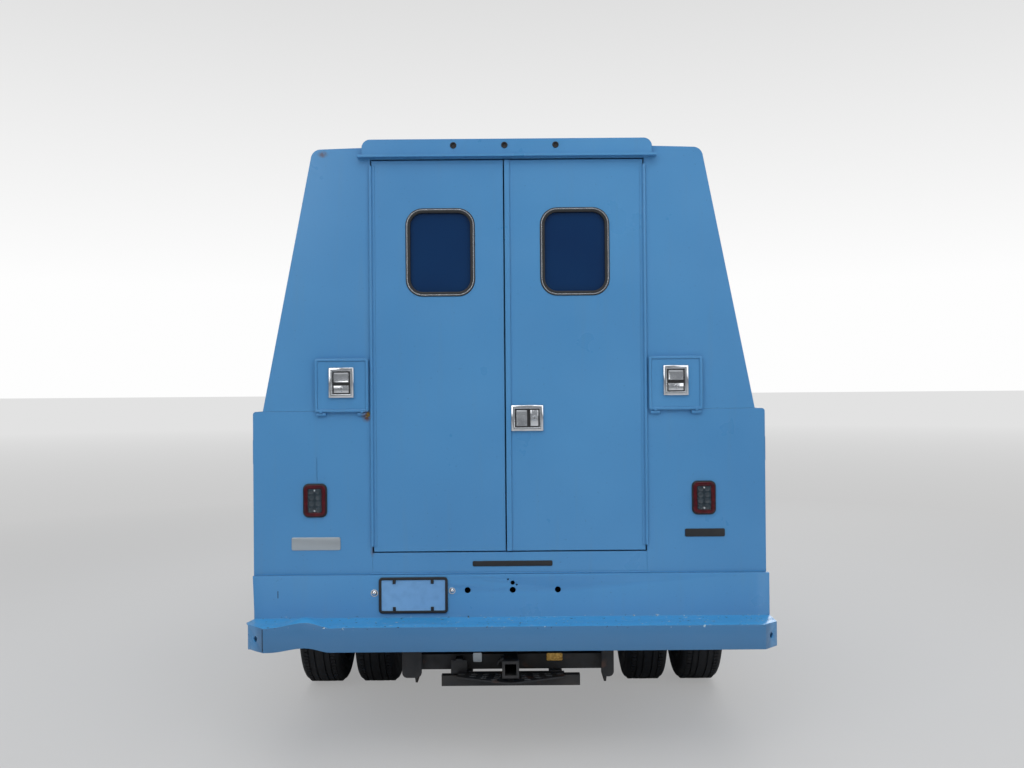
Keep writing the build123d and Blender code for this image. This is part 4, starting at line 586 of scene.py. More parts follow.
def cut_corners(piece, reach, segments):
    """Rounds the corners of a flat sheet."""
    edit_all("VERT")
    bpy.ops.mesh.bevel(offset=reach, segments=segments, affect="VERTICES")
    leave()
    return piece


def cut_middle(piece, band):
    """Cuts out a flat sheet's middle and leaves a frame of one width."""
    edit_all("FACE")
    bpy.ops.mesh.inset(thickness=band)
    bpy.ops.mesh.delete(type="FACE")
    leave()
    return piece


def rounded_sheet(name, centre, width, height, corner, low_y, segments):
    """A flat sheet with rounded corners that faces the rear."""
    select_only()
    bpy.ops.mesh.primitive_plane_add(size=1, location=(centre[0], low_y, centre[1]),
                                     rotation=(radians(90), 0, 0))
    piece = bpy.context.object
    named(piece, name)
    bpy.ops.transform.resize(value=(width, 1, height))
    return cut_corners(settle(piece), corner, segments)


def rounded_panel(name, centre, width, height, corner, low_y, high_y, segments=6):
    """A flat panel with rounded corners that faces the rear, from one depth to another."""
    piece = rounded_sheet(name, centre, width, height, corner, low_y, segments)
    return use_modifier(piece, "SOLIDIFY", thickness=high_y - low_y, offset=-1)


def rounded_frame(name, centre, width, height, corner, band, low_y, high_y, segments=6):
    """A rounded panel with its middle cut out, which leaves a frame of one width."""
    piece = cut_middle(rounded_sheet(name, centre, width, height, corner, low_y, segments), band)
    return use_modifier(piece, "SOLIDIFY", thickness=high_y - low_y, offset=-1)


def coat(piece, finish, smooth=35):
    """Gives a finished piece its finish and its shading."""
    settle(piece)
    bpy.ops.object.shade_smooth_by_angle(angle=radians(smooth))
    piece.data.materials.clear()
    piece.data.materials.append(finishes[finish])
    return piece


def carry(piece, body):
    """Names the body that a piece moves with."""
    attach(piece, body)
    return piece


def dress(piece, finish, body="chassis", smooth=35):
    """Finish, shading and body in one step."""
    return carry(coat(piece, finish, smooth), body)


def joined(name, pieces):
    """Joins several pieces into one mesh."""
    select_only(*pieces)
    bpy.ops.object.join()
    whole = bpy.context.object
    named(whole, name)
    return whole


def copied(piece, name, shift=(0, 0, 0)):
    """A copy with its own mesh, moved by a shift."""
    select_only(piece)
    bpy.ops.object.duplicate(linked=False)
    twin = bpy.context.object
    named(twin, name)
    bpy.ops.transform.translate(value=shift)
    return settle(twin)


def spun(piece, name, centre, axis, angle):
    """A copy turned about a line through a point."""
    back = Matrix.Translation(-Vector(centre))
    return stood(copied(piece, name), centre, Matrix.Rotation(angle, 4, Vector(axis)) @ back)


def quad_sheet(name, corners):
    """A flat sheet between four corners: a plane whose corners are pulled to their places one by one."""
    select_only()
    middle = sum((Vector(corner) for corner in corners), Vector()) / 4
    bpy.ops.mesh.primitive_plane_add(size=0.01, location=middle)
    piece = settle(bpy.context.object)
    named(piece, name)
    starts = [vertex.co.copy() for vertex in piece.data.vertices]
    for start, corner in zip([starts[0], starts[1], starts[3], starts[2]], corners):
        pick(piece, lambda place, normal: (place - start).length < 1e-5, "VERT")
        bpy.ops.transform.translate(value=Vector(corner) - start)
    leave()
    return piece


def quad_frame(name, corners, corner_radius, band, thickness, segments=5):
    """A frame of one width along the edge of a four-cornered sheet, for gaskets and bezels."""
    piece = cut_middle(cut_corners(quad_sheet(name, corners), corner_radius, segments), band)
    return use_modifier(piece, "SOLIDIFY", thickness=thickness, offset=0)


sides = (("left", -1), ("right", 1))
sideways = {side: Matrix.Rotation(sign * pi / 2, 4, "Z") for side, sign in sides}
side_skin = 1.194
print("modelling helpers ready")

# %% [markdown]
# ## Window rubbers and trim
# Each rear door carries a small fixed window in a push-in rubber: a black moulding that grips the
# sheet metal on one side and the glass on the other, with a bright filler strip pressed into it.
# A rounded panel with its middle cut out gives both, one inside the other.

# %% Rubber and filler strip round each rear window
rear_skin = -2.782
for side, sign in sides:
    low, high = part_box(f"rear_glass_{side}")
    centre = ((low.x + high.x) / 2, (low.z + high.z) / 2)
    width, height = high.x - low.x, high.z - low.z
    rubber = rounded_frame(f"window_rubber_{side}", centre, width + 0.008, height + 0.008, 0.080, 0.022,
                           rear_skin - 0.004, rear_skin + 0.022, segments=8)
    round_edges(rubber, 0.003)
    dress(rubber, "trim_black", f"rear_door_{side}")
    strip = rounded_frame(f"filler_strip_{side}", centre, width - 0.002, height - 0.002, 0.076, 0.0045,
                          rear_skin - 0.0065, rear_skin - 0.003, segments=8)
    dress(strip, "chrome", f"rear_door_{side}")
print("window rubbers:", len(sides), "faces each:", len(rubber.data.polygons))

# %% [markdown]
# ## Paddle latches
# A paddle latch is a shallow stainless dish let into the door. Its outer flange is bevelled all
# round, its floor is sunk, and in it sit the paddle that the fingers pull, a dark gap, and a fixed
# plate with the lock's cylinder. The gap's dark is painted shade: a black sheet over the sunk floor.
# The cylinder's key slot is a black bar of painted shade. One latch is built lying upright and
# copied to every door.

# %% Dish, paddle, lock plate and cylinder
def dished_flange(name, centre, width, height, face_y, stand, band):
    """The pressed outer flange: a slab whose front is drawn in, and whose middle is sunk."""
    flange = start_block(name, (centre[0] - width / 2, face_y - stand, centre[1] - height / 2),
                         (centre[0] + width / 2, face_y, centre[1] + height / 2))
    pick(flange, rearward)
    bpy.ops.mesh.inset(thickness=band * 0.45)
    bpy.ops.transform.translate(value=(0, -stand * 0.2, 0))
    bpy.ops.mesh.inset(thickness=band * 0.55)
    bpy.ops.mesh.extrude_region_move(TRANSFORM_OT_translate={"value": (0, stand * 0.85, 0)})
    leave()
    pick(flange, lambda place, normal: place.y > face_y - 1e-4 and normal.y < 0.9)
    return round_edges(flange, 0.0022, 2, 30)


def lock_cylinder(name, centre, face_y, radius=0.0115):
    """A round key cylinder with a raised collar, and a black bar on its face that is painted shade for the
    key slot.
    """
    barrel = turned(name, (centre[0], face_y, centre[1]), (0, -1, 0),
                    ((0.0, radius), (0.0035, radius), (0.005, radius * 0.86), (0.005, radius * 0.74),
                     (0.003, radius * 0.68), (0.0034, radius * 0.2), (0.0034, 0.0)), 24)
    # A black bar standing on the cylinder's face: painted shade for the key slot.
    slot_shade = start_block(f"{name}_slot", (centre[0] - 0.0011, face_y - 0.0042, centre[1] - radius * 0.45),
                       (centre[0] + 0.0011, face_y - 0.0030, centre[1] + radius * 0.45))
    return barrel, slot_shade


def paddle_latch(name, centre, width, height, face_y, stand=0.012, lying=False):
    """A whole latch in one mesh. Lying latches have their paddle on the left, upright ones at the top."""
    band = 0.016
    flange = coat(dished_flange(f"{name}_flange", centre, width, height, face_y, stand, band), "chrome")
    inner_w, inner_h = width - 2 * band - 0.014, height - 2 * band - 0.014
    floor_y = face_y - stand * 0.35
    # A black sheet over the dish's sunk floor: painted shade for the gap round the paddle and plate.
    gap_shade_half_w, gap_shade_half_h = inner_w / 2 + 0.006, inner_h / 2 + 0.006
    painted_gap_shade = start_block(f"{name}_well", (centre[0] - gap_shade_half_w, floor_y - 0.0006, centre[1] - gap_shade_half_h),
                       (centre[0] + gap_shade_half_w, floor_y + 0.002, centre[1] + gap_shade_half_h))
    coat(round_edges(painted_gap_shade, 0.0006, 1), "trim_black")
    long_way = inner_w if lying else inner_h
    gap, share = 0.015, 0.58
    paddle_long, plate_long = (long_way - gap) * share, (long_way - gap) * (1 - share)
    left_x, right_x = centre[0] - inner_w / 2, centre[0] + inner_w / 2
    low_z, high_z = centre[1] - inner_h / 2, centre[1] + inner_h / 2
    if lying:
        paddle_low, paddle_high = (left_x, low_z), (left_x + paddle_long, high_z)
        plate_low, plate_high = (right_x - plate_long, low_z), (right_x, high_z)
    else:
        paddle_low, paddle_high = (left_x, high_z - paddle_long), (right_x, high_z)
        plate_low, plate_high = (left_x, low_z), (right_x, low_z + plate_long)
    paddle = start_block(f"{name}_paddle", (paddle_low[0], floor_y - 0.006, paddle_low[1]),
                         (paddle_high[0], floor_y + 0.001, paddle_high[1]))
    pick(paddle, rearward)
    bpy.ops.mesh.inset(thickness=0.006)
    bpy.ops.transform.translate(value=(0, 0.0022, 0))
    coat(round_edges(paddle, 0.0016, 2, 20), "chrome")
    plate = start_block(f"{name}_plate", (plate_low[0], floor_y - 0.004, plate_low[1]),
                        (plate_high[0], floor_y + 0.001, plate_high[1]))
    coat(round_edges(plate, 0.0014, 2), "chrome")
    middle = ((plate_low[0] + plate_high[0]) / 2, (plate_low[1] + plate_high[1]) / 2)
    barrel, slot_shade = lock_cylinder(f"{name}_cylinder", middle, floor_y - 0.004)
    coat(barrel, "chrome")
    coat(slot_shade, "trim_black")
    return joined(name, [painted_gap_shade, slot_shade, barrel, plate, paddle, flange])


def middle_of(node):
    """A node's middle across and up, and its box."""
    low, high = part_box(node)
    return ((low.x + high.x) / 2, (low.z + high.z) / 2), low, high


centre, low, high = middle_of("rear_latch")
main_latch = paddle_latch("rear_paddle_latch", centre, high.x - low.x, high.z - low.z, rear_skin, lying=True)
carry(main_latch, "rear_door_right")
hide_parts("rear_latch")
for side, sign in sides:
    centre, low, high = middle_of(f"small_latch_{side}")
    small_latch = paddle_latch(f"small_paddle_latch_{side}", centre, high.x - low.x, high.z - low.z, high.y)
    carry(small_latch, f"small_door_{side}")
    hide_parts(f"small_latch_{side}")
print("paddle latches: 3")

# %% [markdown]
# ## Tail lamps
# The lamps are stuck on as whole units: a black base, a dark red rounded rim that is the reflector,
# and in it a clear lens over two columns of four small reflector cups. Two screws hold the lens.

# %% Base, rim, cups and lens
base_y = rear_skin
lamp_low, lamp_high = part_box("tail_lamps")
lamp_z = (lamp_low.z + lamp_high.z) / 2
lamp_w, lamp_h = 0.112, lamp_high.z - lamp_low.z
for side, sign in sides:
    lamp_x = sign * (lamp_high.x - lamp_w / 2)
    base = rounded_panel(f"lamp_base_{side}", (lamp_x, lamp_z), lamp_w, lamp_h, 0.026,
                         base_y - 0.006, base_y, segments=5)
    round_edges(base, 0.0015)
    dress(base, "trim_black")
    rim = rounded_frame(f"lamp_rim_{side}", (lamp_x, lamp_z), lamp_w - 0.012, lamp_h - 0.012, 0.022, 0.018,
                        base_y - 0.016, base_y - 0.006, segments=5)
    round_edges(rim, 0.004, 3)
    dress(rim, "lamp_red")
    cups = []
    for column in (-1, 1):
        for row in range(4):
            cup_centre = (lamp_x + column * 0.0155, base_y - 0.006, lamp_z + (row - 1.5) * 0.0275)
            cups.append(turned(f"cup_{side}_{column}_{row}", cup_centre, (0, -1, 0),
                               ((0.0, 0.0125), (0.005, 0.0125), (0.0055, 0.0115), (0.0022, 0.007),
                                (0.0016, 0.003), (0.0032, 0.0015), (0.0032, 0.0)), 16))
    cups = joined(f"lamp_cups_{side}", cups)
    dress(cups, "chrome")
    lens = rounded_panel(f"lamp_lens_{side}", (lamp_x, lamp_z), lamp_w - 0.048, lamp_h - 0.048, 0.006,
                         base_y - 0.0145, base_y - 0.0125, segments=3)
    dress(lens, "lamp_lens", "chassis")
    screws = [turned(f"lamp_screw_{side}_{end}", (lamp_x, base_y - 0.0145, lamp_z + end * 0.0475), (0, -1, 0),
                     ((0.0, 0.0042), (0.0012, 0.0040), (0.0020, 0.0026), (0.0020, 0.0012), (0.0012, 0.0010),
                      (0.0012, 0.0)), 12) for end in (-1, 1)]
    dress(joined(f"lamp_screws_{side}", screws), "chrome")
    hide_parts("tail_lamps")
print("lamp cups each side:", 8)

# %% [markdown]
# ## Small rear doors
# The two square doors beside the big ones have a rolled border that stands a little proud, a pair of
# small knuckles at the bottom, and beside one of them a brass bolt that has bled rust down the panel.

# %% Border beads and hinge bolts
for side, sign in sides:
    centre, low, high = middle_of(f"small_door_{side}")
    door_low = high.z - (high.x - low.x)
    door_middle = ((low.x + high.x) / 2, (door_low + high.z) / 2)
    door_width = high.x - low.x
    bead = rounded_frame(f"door_bead_{side}", door_middle, door_width - 0.004, door_width - 0.004, 0.014,
                         0.011, low.y - 0.0022, low.y + 0.002, segments=3)
    round_edges(bead, 0.0016)
    dress(bead, "body_paint", f"small_door_{side}")
    bolts = []
    for end in (-1, 1):
        bolt_x = door_middle[0] + end * (door_width / 2 - 0.030)
        bolts.append(turned(f"knuckle_bolt_{side}_{end}", (bolt_x, low.y - 0.001, low.z + 0.020), (0, -1, 0),
                            ((0.0, 0.0075), (0.003, 0.0075), (0.0045, 0.0055), (0.0045, 0.0)), 6))
    bolts = joined(f"knuckle_bolts_{side}", bolts)
    dress(bolts, "body_paint", f"small_door_{side}")
hasp_bolt = turned("hasp_bolt", (-0.660, rear_skin + 0.001, 1.597), (0, -1, 0),
                   ((0.0, 0.0135), (0.003, 0.0135), (0.0035, 0.0100), (0.008, 0.0095), (0.010, 0.0070),
                    (0.010, 0.0)), 6)
hasp_pin = turned("hasp_pin", (-0.668, rear_skin - 0.0055, 1.598), (-1, 0, 0),
                  ((0.0, 0.0), (0.0, 0.0045), (0.026, 0.0042), (0.034, 0.0015), (0.034, 0.0)), 10)
dress(joined("hasp_bolts", [hasp_pin, hasp_bolt]), "brass", "chassis")
print("small doors dressed:", len(sides))

# %% [markdown]
# ## Header and marker holes
# Under the header a gutter keeps rain off the doors. The header's three marker lamps are gone, and
# rubber grommets line the holes.

# %% Grommets in the header
header_low, header_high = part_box("rear_frame")
grommet_z = header_high.z - 0.030
header_face = header_low.y + 0.012
grommet_x, grommet_spacing = -0.011, 0.2375
for index in (-1, 0, 1):
    place = (grommet_x + index * grommet_spacing, header_face, grommet_z)
    grommet = turned(f"header_grommet_{index + 1}", place, (0, -1, 0),
                     ((-0.006, 0.0135), (0.0015, 0.0150), (0.0030, 0.0140), (0.0030, 0.0105),
                      (-0.004, 0.0095), (-0.004, 0.0)), 24)
    dress(grommet, "trim_black")
print("grommets: 3")

# %% [markdown]
# ## Bare plates
# Three badge backings are still on the body. They are plain strips here: a silver plate low on the
# left, a black strip on the right and a thin strip on the sill.

# %% Badge backings
def bare_plate(name, centre, width, height, corner, face_y, thick, finish):
    """A small plate with eased corners and edges, stuck flat on a panel."""
    plate = rounded_panel(name, centre, width, height, corner, face_y - thick, face_y, segments=3)
    round_edges(plate, thick * 0.35, 2)
    return dress(plate, finish, "chassis")


bare_plate("silver_plate", (-0.903, 0.995), 0.228, 0.060, 0.008, rear_skin, 0.003, "brushed_plate")
bare_plate("black_strip", (0.910, 1.034), 0.186, 0.037, 0.006, rear_skin, 0.003, "trim_black")
bare_plate("sill_strip", (0.012, 0.897), 0.372, 0.025, 0.006, rear_skin, 0.003, "trim_black")
print("bare plates: 3")

# %% [markdown]
# ## Rear bumper
# The bumper is one bent sheet: a narrow ledge, an upper face with sensor holes, a flat step and a
# front face whose ends are cut back at a slant. This one has been hit near its left end. The step's
# edge rises in a wave and drops into a crease, which no plain solid shows, so the sheet is drawn
# here: a plane for the upper face, then one extrusion for each bend, then cuts across it, so that the
# stations near the blow can be lifted one by one.

# %% Bend the sheet
bumper_low, bumper_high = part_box("rear_bumper")
bumper_end, tail_y = bumper_high.x, bumper_low.y
upper_y, cap, sheet = rear_skin - 0.022, 0.066, 0.006
step_middle = tail_y + (upper_y - tail_y) * 0.36


def along_bend(skin, y, z, low_x=-9, high_x=9):
    """Selects the vertices that lie along one bend of the sheet, between two places across."""
    pick(skin, lambda place, normal: abs(place.y - y) < 1e-4 and abs(place.z - z) < 1e-4
         and low_x < place.x < high_x, "VERT")


def push_out(skin, bend, shift):
    """Extrudes the edge along a bend."""
    along_bend(skin, *bend)
    bpy.ops.mesh.extrude_region_move(TRANSFORM_OT_translate={"value": shift})


select_only()
bpy.ops.mesh.primitive_plane_add(size=1, location=(0, upper_y, (bumper_high.z + step_z) / 2),
                                 rotation=(radians(90), 0, 0))
bumper = bpy.context.object
named(bumper, "dented_bumper")
bpy.ops.transform.resize(value=(2 * bumper_end, 1, bumper_high.z - step_z))
settle(bumper)
push_out(bumper, (upper_y, step_z), (0, step_middle - upper_y, 0))
push_out(bumper, (step_middle, step_z), (0, tail_y - step_middle, 0))
push_out(bumper, (tail_y, step_z), (0, 0, bumper_low.z - step_z))
push_out(bumper, (tail_y, bumper_low.z), (0, 0.030, 0))
push_out(bumper, (upper_y, bumper_high.z), (0, rear_skin - upper_y - 0.001, 0))
print("bends:", 5)

# %% Cut the stations and slant the ends
corner_x = bumper_end - cap
dent_stations = [-1.06 + 0.02 * index for index in range(20)]
for station in (-corner_x, corner_x, *dent_stations):
    bpy.ops.mesh.select_all(action="SELECT")
    bpy.ops.mesh.bisect(plane_co=(station, 0, 0), plane_no=(1, 0, 0))
for low_x, high_x in ((-9, -bumper_end + 0.001), (bumper_end - 0.001, 9)):
    for z in (step_z, bumper_low.z):
        along_bend(bumper, tail_y, z, low_x, high_x)
        bpy.ops.transform.translate(value=(0, cap, 0))
    along_bend(bumper, tail_y + 0.030, bumper_low.z, low_x, high_x)
    bpy.ops.transform.translate(value=(0, cap, 0))
    along_bend(bumper, step_middle, step_z, low_x, high_x)
    bpy.ops.transform.translate(value=(0, cap * 0.64, 0))
print("stations:", len(dent_stations))


# %% Lift the stations that were hit
def wave(x, crest, left, right):
    """A smooth hump: one at its crest, falling to nothing over a left and a right reach."""
    reach = left if x < crest else right
    share = min(abs(x - crest) / reach, 1.0)
    return (1 + cos(pi * share)) / 2


for station in dent_stations:
    near, far = station - 0.001, station + 0.001
    hump = wave(station, -0.915, 0.17, 0.115)
    ridge = wave(station, -0.925, 0.115, 0.10)
    crease = wave(station, -0.80, 0.05, 0.05)
    along_bend(bumper, step_middle, step_z, near, far)
    bpy.ops.transform.translate(value=(0, -0.012 * ridge, 0.036 * ridge - 0.006 * crease))
    along_bend(bumper, tail_y, step_z, near, far)
    bpy.ops.transform.translate(value=(0, 0.016 * hump + 0.006 * crease, 0.020 * hump - 0.004 * crease))
    along_bend(bumper, tail_y, bumper_low.z, near, far)
    bpy.ops.transform.translate(value=(0, 0.004 * hump, 0.019 * hump))
    along_bend(bumper, tail_y + 0.030, bumper_low.z, near, far)
    bpy.ops.transform.translate(value=(0, 0, 0.019 * hump))
along_bend(bumper, tail_y, step_z, -corner_x - 0.001, -corner_x + 0.001)
bpy.ops.transform.translate(value=(0.036, 0, -0.002))
along_bend(bumper, tail_y, bumper_low.z, -corner_x - 0.001, -corner_x + 0.001)
bpy.ops.transform.translate(value=(0.036, 0, 0))
for y in (tail_y + cap, tail_y + cap + 0.030):
    for z in (step_z, bumper_low.z):
        along_bend(bumper, y, z, -bumper_end - 0.001, -bumper_end + 0.001)
        bpy.ops.transform.translate(value=(0.018, 0, 0.004))
for y, z, shift in ((upper_y, step_z, 0.016), (upper_y, bumper_high.z, 0.009),
                    (rear_skin - 0.001, bumper_high.z, 0.009)):
    along_bend(bumper, y, z, -bumper_end - 0.001, -bumper_end + 0.001)
    bpy.ops.transform.translate(value=(shift, 0, 0))
leave()
use_modifier(bumper, "SOLIDIFY", thickness=sheet, offset=-1, use_even_offset=True)
print("bumper faces:", len(bumper.data.polygons))


# %% Drill it and close its ends
def drill(piece, centre, axis, radius, depth=0.05):
    """Cuts a round hole with a short bar as the cutter."""
    bar = turned("drill", centre, axis, ((-depth, 0.0), (-depth, radius), (depth, radius), (depth, 0.0)), 24)
    use_modifier(piece, "BOOLEAN", object=bar, operation="DIFFERENCE", solver="EXACT")
    bpy.data.objects.remove(bar)


sensor_x, sensor_spacing, sensor_z = 0.012, 0.2095, 0.778
for index in (-1, 0, 1):
    drill(bumper, (sensor_x + index * sensor_spacing, upper_y, sensor_z), (0, 1, 0), 0.014)
for x, z, radius in ((sensor_x, 0.811, 0.010), (-0.010, 0.827, 0.0045), (0.031, 0.802, 0.0045)):
    drill(bumper, (x, upper_y, z), (0, 1, 0), radius)
slant = Vector((1, -1, 0)).normalized()
drill(bumper, (corner_x + cap / 2, tail_y + cap / 2, 0.598), tuple(slant), 0.013)
drill(bumper, (-corner_x - cap / 2 + 0.026, tail_y + cap / 2, 0.598), (-slant.x, slant.y, 0), 0.013)
round_edges(bumper, 0.003, 2, 50)
dress(bumper, "bumper_paint", "chassis")
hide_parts("rear_bumper")

ends = []
for side, sign in sides:
    inset = 0.018 if sign < 0 else 0.0
    out_x = sign * (bumper_end - inset - 0.0005)
    low_x, high_x = sorted((out_x, out_x - sign * sheet))
    end = start_block(f"bumper_end_{side}", (low_x, tail_y + cap, bumper_low.z),
                      (high_x, rear_skin - 0.001, step_z - sheet * 0.5))
    edit_all()
    bpy.ops.mesh.bisect(plane_co=(0, upper_y + sheet, 0), plane_no=(0, 1, 0))
    pick(end, lambda place, normal: normal.z > 0.9 and place.y > upper_y + sheet)
    bpy.ops.mesh.extrude_region_move(
        TRANSFORM_OT_translate={"value": (0, 0, bumper_high.z - step_z)})
    leave()
    ends.append(end)
    rail_x = sign * 0.397
    bracket = start_block(f"bumper_bracket_{side}", (rail_x - 0.035, upper_y + sheet, 0.570),
                          (rail_x + 0.035, -2.752, 0.710))
    pick(bracket, lambda place, normal: abs(normal.x) > 0.9 and normal.x * sign < 0)
    bpy.ops.mesh.inset(thickness=0.010)
    bpy.ops.mesh.extrude_region_move(TRANSFORM_OT_translate={"value": (sign * 0.055, 0, 0)})
    leave()
    ends.append(bracket)
ends = joined("bumper_ends", ends)
round_edges(ends, 0.0015, 1, 50)
dress(ends, "body_paint")
ledge_strip = start_block("ledge_strip", (-0.652, rear_skin - 0.005, bumper_high.z - 0.0005),
                          (0.652, -2.750, bumper_high.z + 0.0075))
dress(round_edges(ledge_strip, 0.0015, 1), "body_paint")
print("bumper ends and brackets:", 4)

# %% [markdown]
# ## Licence plate and its frame
# A blank plate in a thin black frame is bolted to the bumper's upper face, left of the middle.

# %% Plate, frame and bolts
plate_centre, plate_size = (-0.4490, 0.7570), (0.320, 0.167)
face_y = upper_y - 0.0005
plate = rounded_panel("blank_plate", plate_centre, plate_size[0] - 0.010, plate_size[1] - 0.010, 0.018,
                      face_y - 0.004, face_y, segments=3)
pick(plate, rearward)
bpy.ops.mesh.inset(thickness=0.011)
bpy.ops.mesh.inset(thickness=0.002)
bpy.ops.transform.translate(value=(0, 0.0008, 0))
leave()
dress(plate, "plate_sheet", "chassis")
plate_frame = rounded_frame("plate_frame", plate_centre, *plate_size, 0.0165, 0.0125, face_y - 0.009, face_y,
                            segments=4)
for end in (-1, 1):
    for level in (-1, 1):
        tab = start_block(f"tab_{end}_{level}", (plate_centre[0] + end * 0.088 - 0.007, face_y - 0.009,
                                                 plate_centre[1] + level * 0.062 - 0.009),
                          (plate_centre[0] + end * 0.088 + 0.007, face_y - 0.003,
                           plate_centre[1] + level * 0.062 + 0.009))
        plate_frame = joined("plate_frame", [tab, plate_frame])
round_edges(plate_frame, 0.002, 2, 40)
dress(plate_frame, "trim_black")
for name, place, radius in (("plate_bolt_left", (-0.6300, 0.7680), 0.0135),
                            ("plate_bolt_right", (-0.2690, 0.7760), 0.0120)):
    bolt = turned(name, (place[0], upper_y, place[1]), (0, -1, 0),
                  ((0.0, radius * 1.25), (0.002, radius * 1.25), (0.002, radius), (0.007, radius * 0.82),
                   (0.010, radius * 0.45), (0.011, 0.0)), 16)
    dress(bolt, "chrome")
scratch = start_block("scratch", (-1.0790, upper_y - 0.0012, 0.747), (-1.0762, upper_y + 0.0005, 0.780))
round_edges(scratch, 0.0005, 1)
dress(scratch, "trim_black")
print("plate frame faces:", len(plate_frame.data.polygons))

# %% [markdown]
# ## Tyres
# A truck tyre is a casing with flat-sided blocks on its shoulders and two straight grooves beside a
# solid centre rib. The section is drawn once from bead to bead and turned like a pot on a lathe; then
# each face of the two shoulder bands is inset and raised, which leaves a gap round every block.

# %% Turn one tyre and raise its blocks
side_wall = ((0.0742, 0.2165), (0.0742, 0.2325), (0.0880, 0.2400), (0.1040, 0.2620), (0.1128, 0.2820),
             (0.1148, 0.2830), (0.1165, 0.3000), (0.1175, 0.3215), (0.1166, 0.3420), (0.1142, 0.3430),
             (0.1125, 0.3620), (0.1090, 0.3780), (0.1030, 0.3880), (0.0930, 0.3950))
tread = ((0.0885, 0.3962), (0.0600, 0.3962), (0.0555, 0.3955), (0.0540, 0.4032), (0.0300, 0.4037),
         (0.0284, 0.3955), (0.0226, 0.3955), (0.0210, 0.4038), (0.0, 0.4039))
half_section = side_wall + tread
whole_section = [(-along, radius) for along, radius in half_section]
whole_section += [(along, radius) for along, radius in reversed(half_section[:-1])]
whole_section.append((-half_section[0][0], half_section[0][1]))


def tyre_centre(node, outer_edge, half_width=0.1175):
    """The middle of the tyre that lies at one end of a node's box."""
    low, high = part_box(node)
    return Vector((high.x - half_width if outer_edge > 0 else low.x + half_width,
                   (low.y + high.y) / 2, (low.z + high.z) / 2))


first_centre = tyre_centre("front_tyre_right", 1)
first_tyre = turned("treaded_tyre", first_centre, (1, 0, 0), whole_section, 96)
pick(first_tyre, lambda place, normal: 0.060 < abs(place.x - first_centre.x) < 0.0885
     and abs(normal.x) < 0.2 and (place - first_centre).length > 0.39)
bpy.ops.mesh.inset(thickness=0.0030, use_individual=True)
bpy.ops.mesh.inset(thickness=0.0006, depth=0.0072, use_individual=True)
leave()
coat(first_tyre, "tyre", 40)
print("tyre faces:", len(first_tyre.data.polygons))

# %% Put a copy on every wheel
def tyre_copy(name, node, edge):
    return copied(first_tyre, name, tyre_centre(node, edge) - first_centre)


for side, sign in sides:
    front = tyre_copy(f"treaded_tyre_front_{side}", f"front_tyre_{side}", sign)
    carry(front, f"front_wheel_{side}")
    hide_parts(f"front_tyre_{side}")
    pair = [tyre_copy(f"treaded_twin_{side}_{edge}", f"rear_tyres_{side}", edge) for edge in (-1, 1)]
    twins = joined(f"treaded_twins_{side}", pair)
    carry(twins, f"rear_wheels_{side}")
    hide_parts(f"rear_tyres_{side}")
bpy.data.objects.remove(first_tyre)
print("tyres:", 6)

# %% [markdown]
# ## Wheel nuts, hub caps and valves
# Eight studs hold each steel wheel. A nut is turned with six segments, so that it comes out
# hexagonal, and its stud with ten. The nut is then copied round the hub.

# %% Nuts, cap and valve of one wheel
def wheel_fittings(name, body, centre, face_x, hub_x, sign, cap):
    """Nuts on the disc's face, a cap on the hub's end and a valve stem between two hand holes."""
    outward = (sign, 0, 0)
    start = Vector((face_x, centre.y, centre.z + 0.098))
    nut = turned("nut", start, outward, ((-0.002, 0.0215), (0.0015, 0.0215), (0.0030, 0.0165),
                                         (0.0150, 0.0165), (0.0175, 0.0140), (0.0175, 0.0)), 6)
    stud = turned("stud", start, outward,
                  ((0.012, 0.0085), (0.0240, 0.0085), (0.0262, 0.0065), (0.0262, 0.0)), 10)
    nut = joined("nut", [stud, nut])
    ring = [spun(nut, f"nut_{index}", (face_x, centre.y, centre.z), (1, 0, 0), radians(22.5 + 45 * index))
            for index in range(8)]
    bpy.data.objects.remove(nut)
    hub_cap = turned("cap", (hub_x, centre.y, centre.z), outward, cap, 32)
    valve = turned("valve", (face_x - sign * 0.010, centre.y + 0.152, centre.z + 0.063), outward,
                   ((-0.012, 0.0055), (0.018, 0.0045), (0.019, 0.0052), (0.030, 0.0048), (0.032, 0.0030),
                    (0.032, 0.0)), 12)
    fittings = joined(name, [*ring, valve, hub_cap])
    return dress(fittings, "engine_metal", body, 30)


front_cap = ((-0.006, 0.0600), (0.003, 0.0600), (0.006, 0.0570), (0.016, 0.0540), (0.022, 0.0440),
             (0.024, 0.0280), (0.0245, 0.0))
rear_cap = ((-0.006, 0.0600), (0.004, 0.0600), (0.007, 0.0560), (0.008, 0.0380), (0.024, 0.0360),
            (0.027, 0.0310), (0.0275, 0.0))
for side, sign in sides:
    centre = tyre_centre(f"front_tyre_{side}", sign)
    wheel_fittings(f"front_wheel_nuts_{side}", f"front_wheel_{side}", centre, centre.x + sign * 0.154,
                   centre.x + sign * 0.160, sign, front_cap)
    centre = tyre_centre(f"rear_tyres_{side}", sign)
    wheel_fittings(f"rear_wheel_nuts_{side}", f"rear_wheels_{side}", centre, centre.x - sign * 0.142,
                   centre.x - sign * 0.106, sign, rear_cap)
print("nuts:", 4 * 8)

# %% [markdown]
# ## Locker latches
# Each of the six side lockers has the same paddle latch as the small rear doors. It is modelled once
# facing the rear, and every copy is turned a quarter about the upright axis and set on its door.

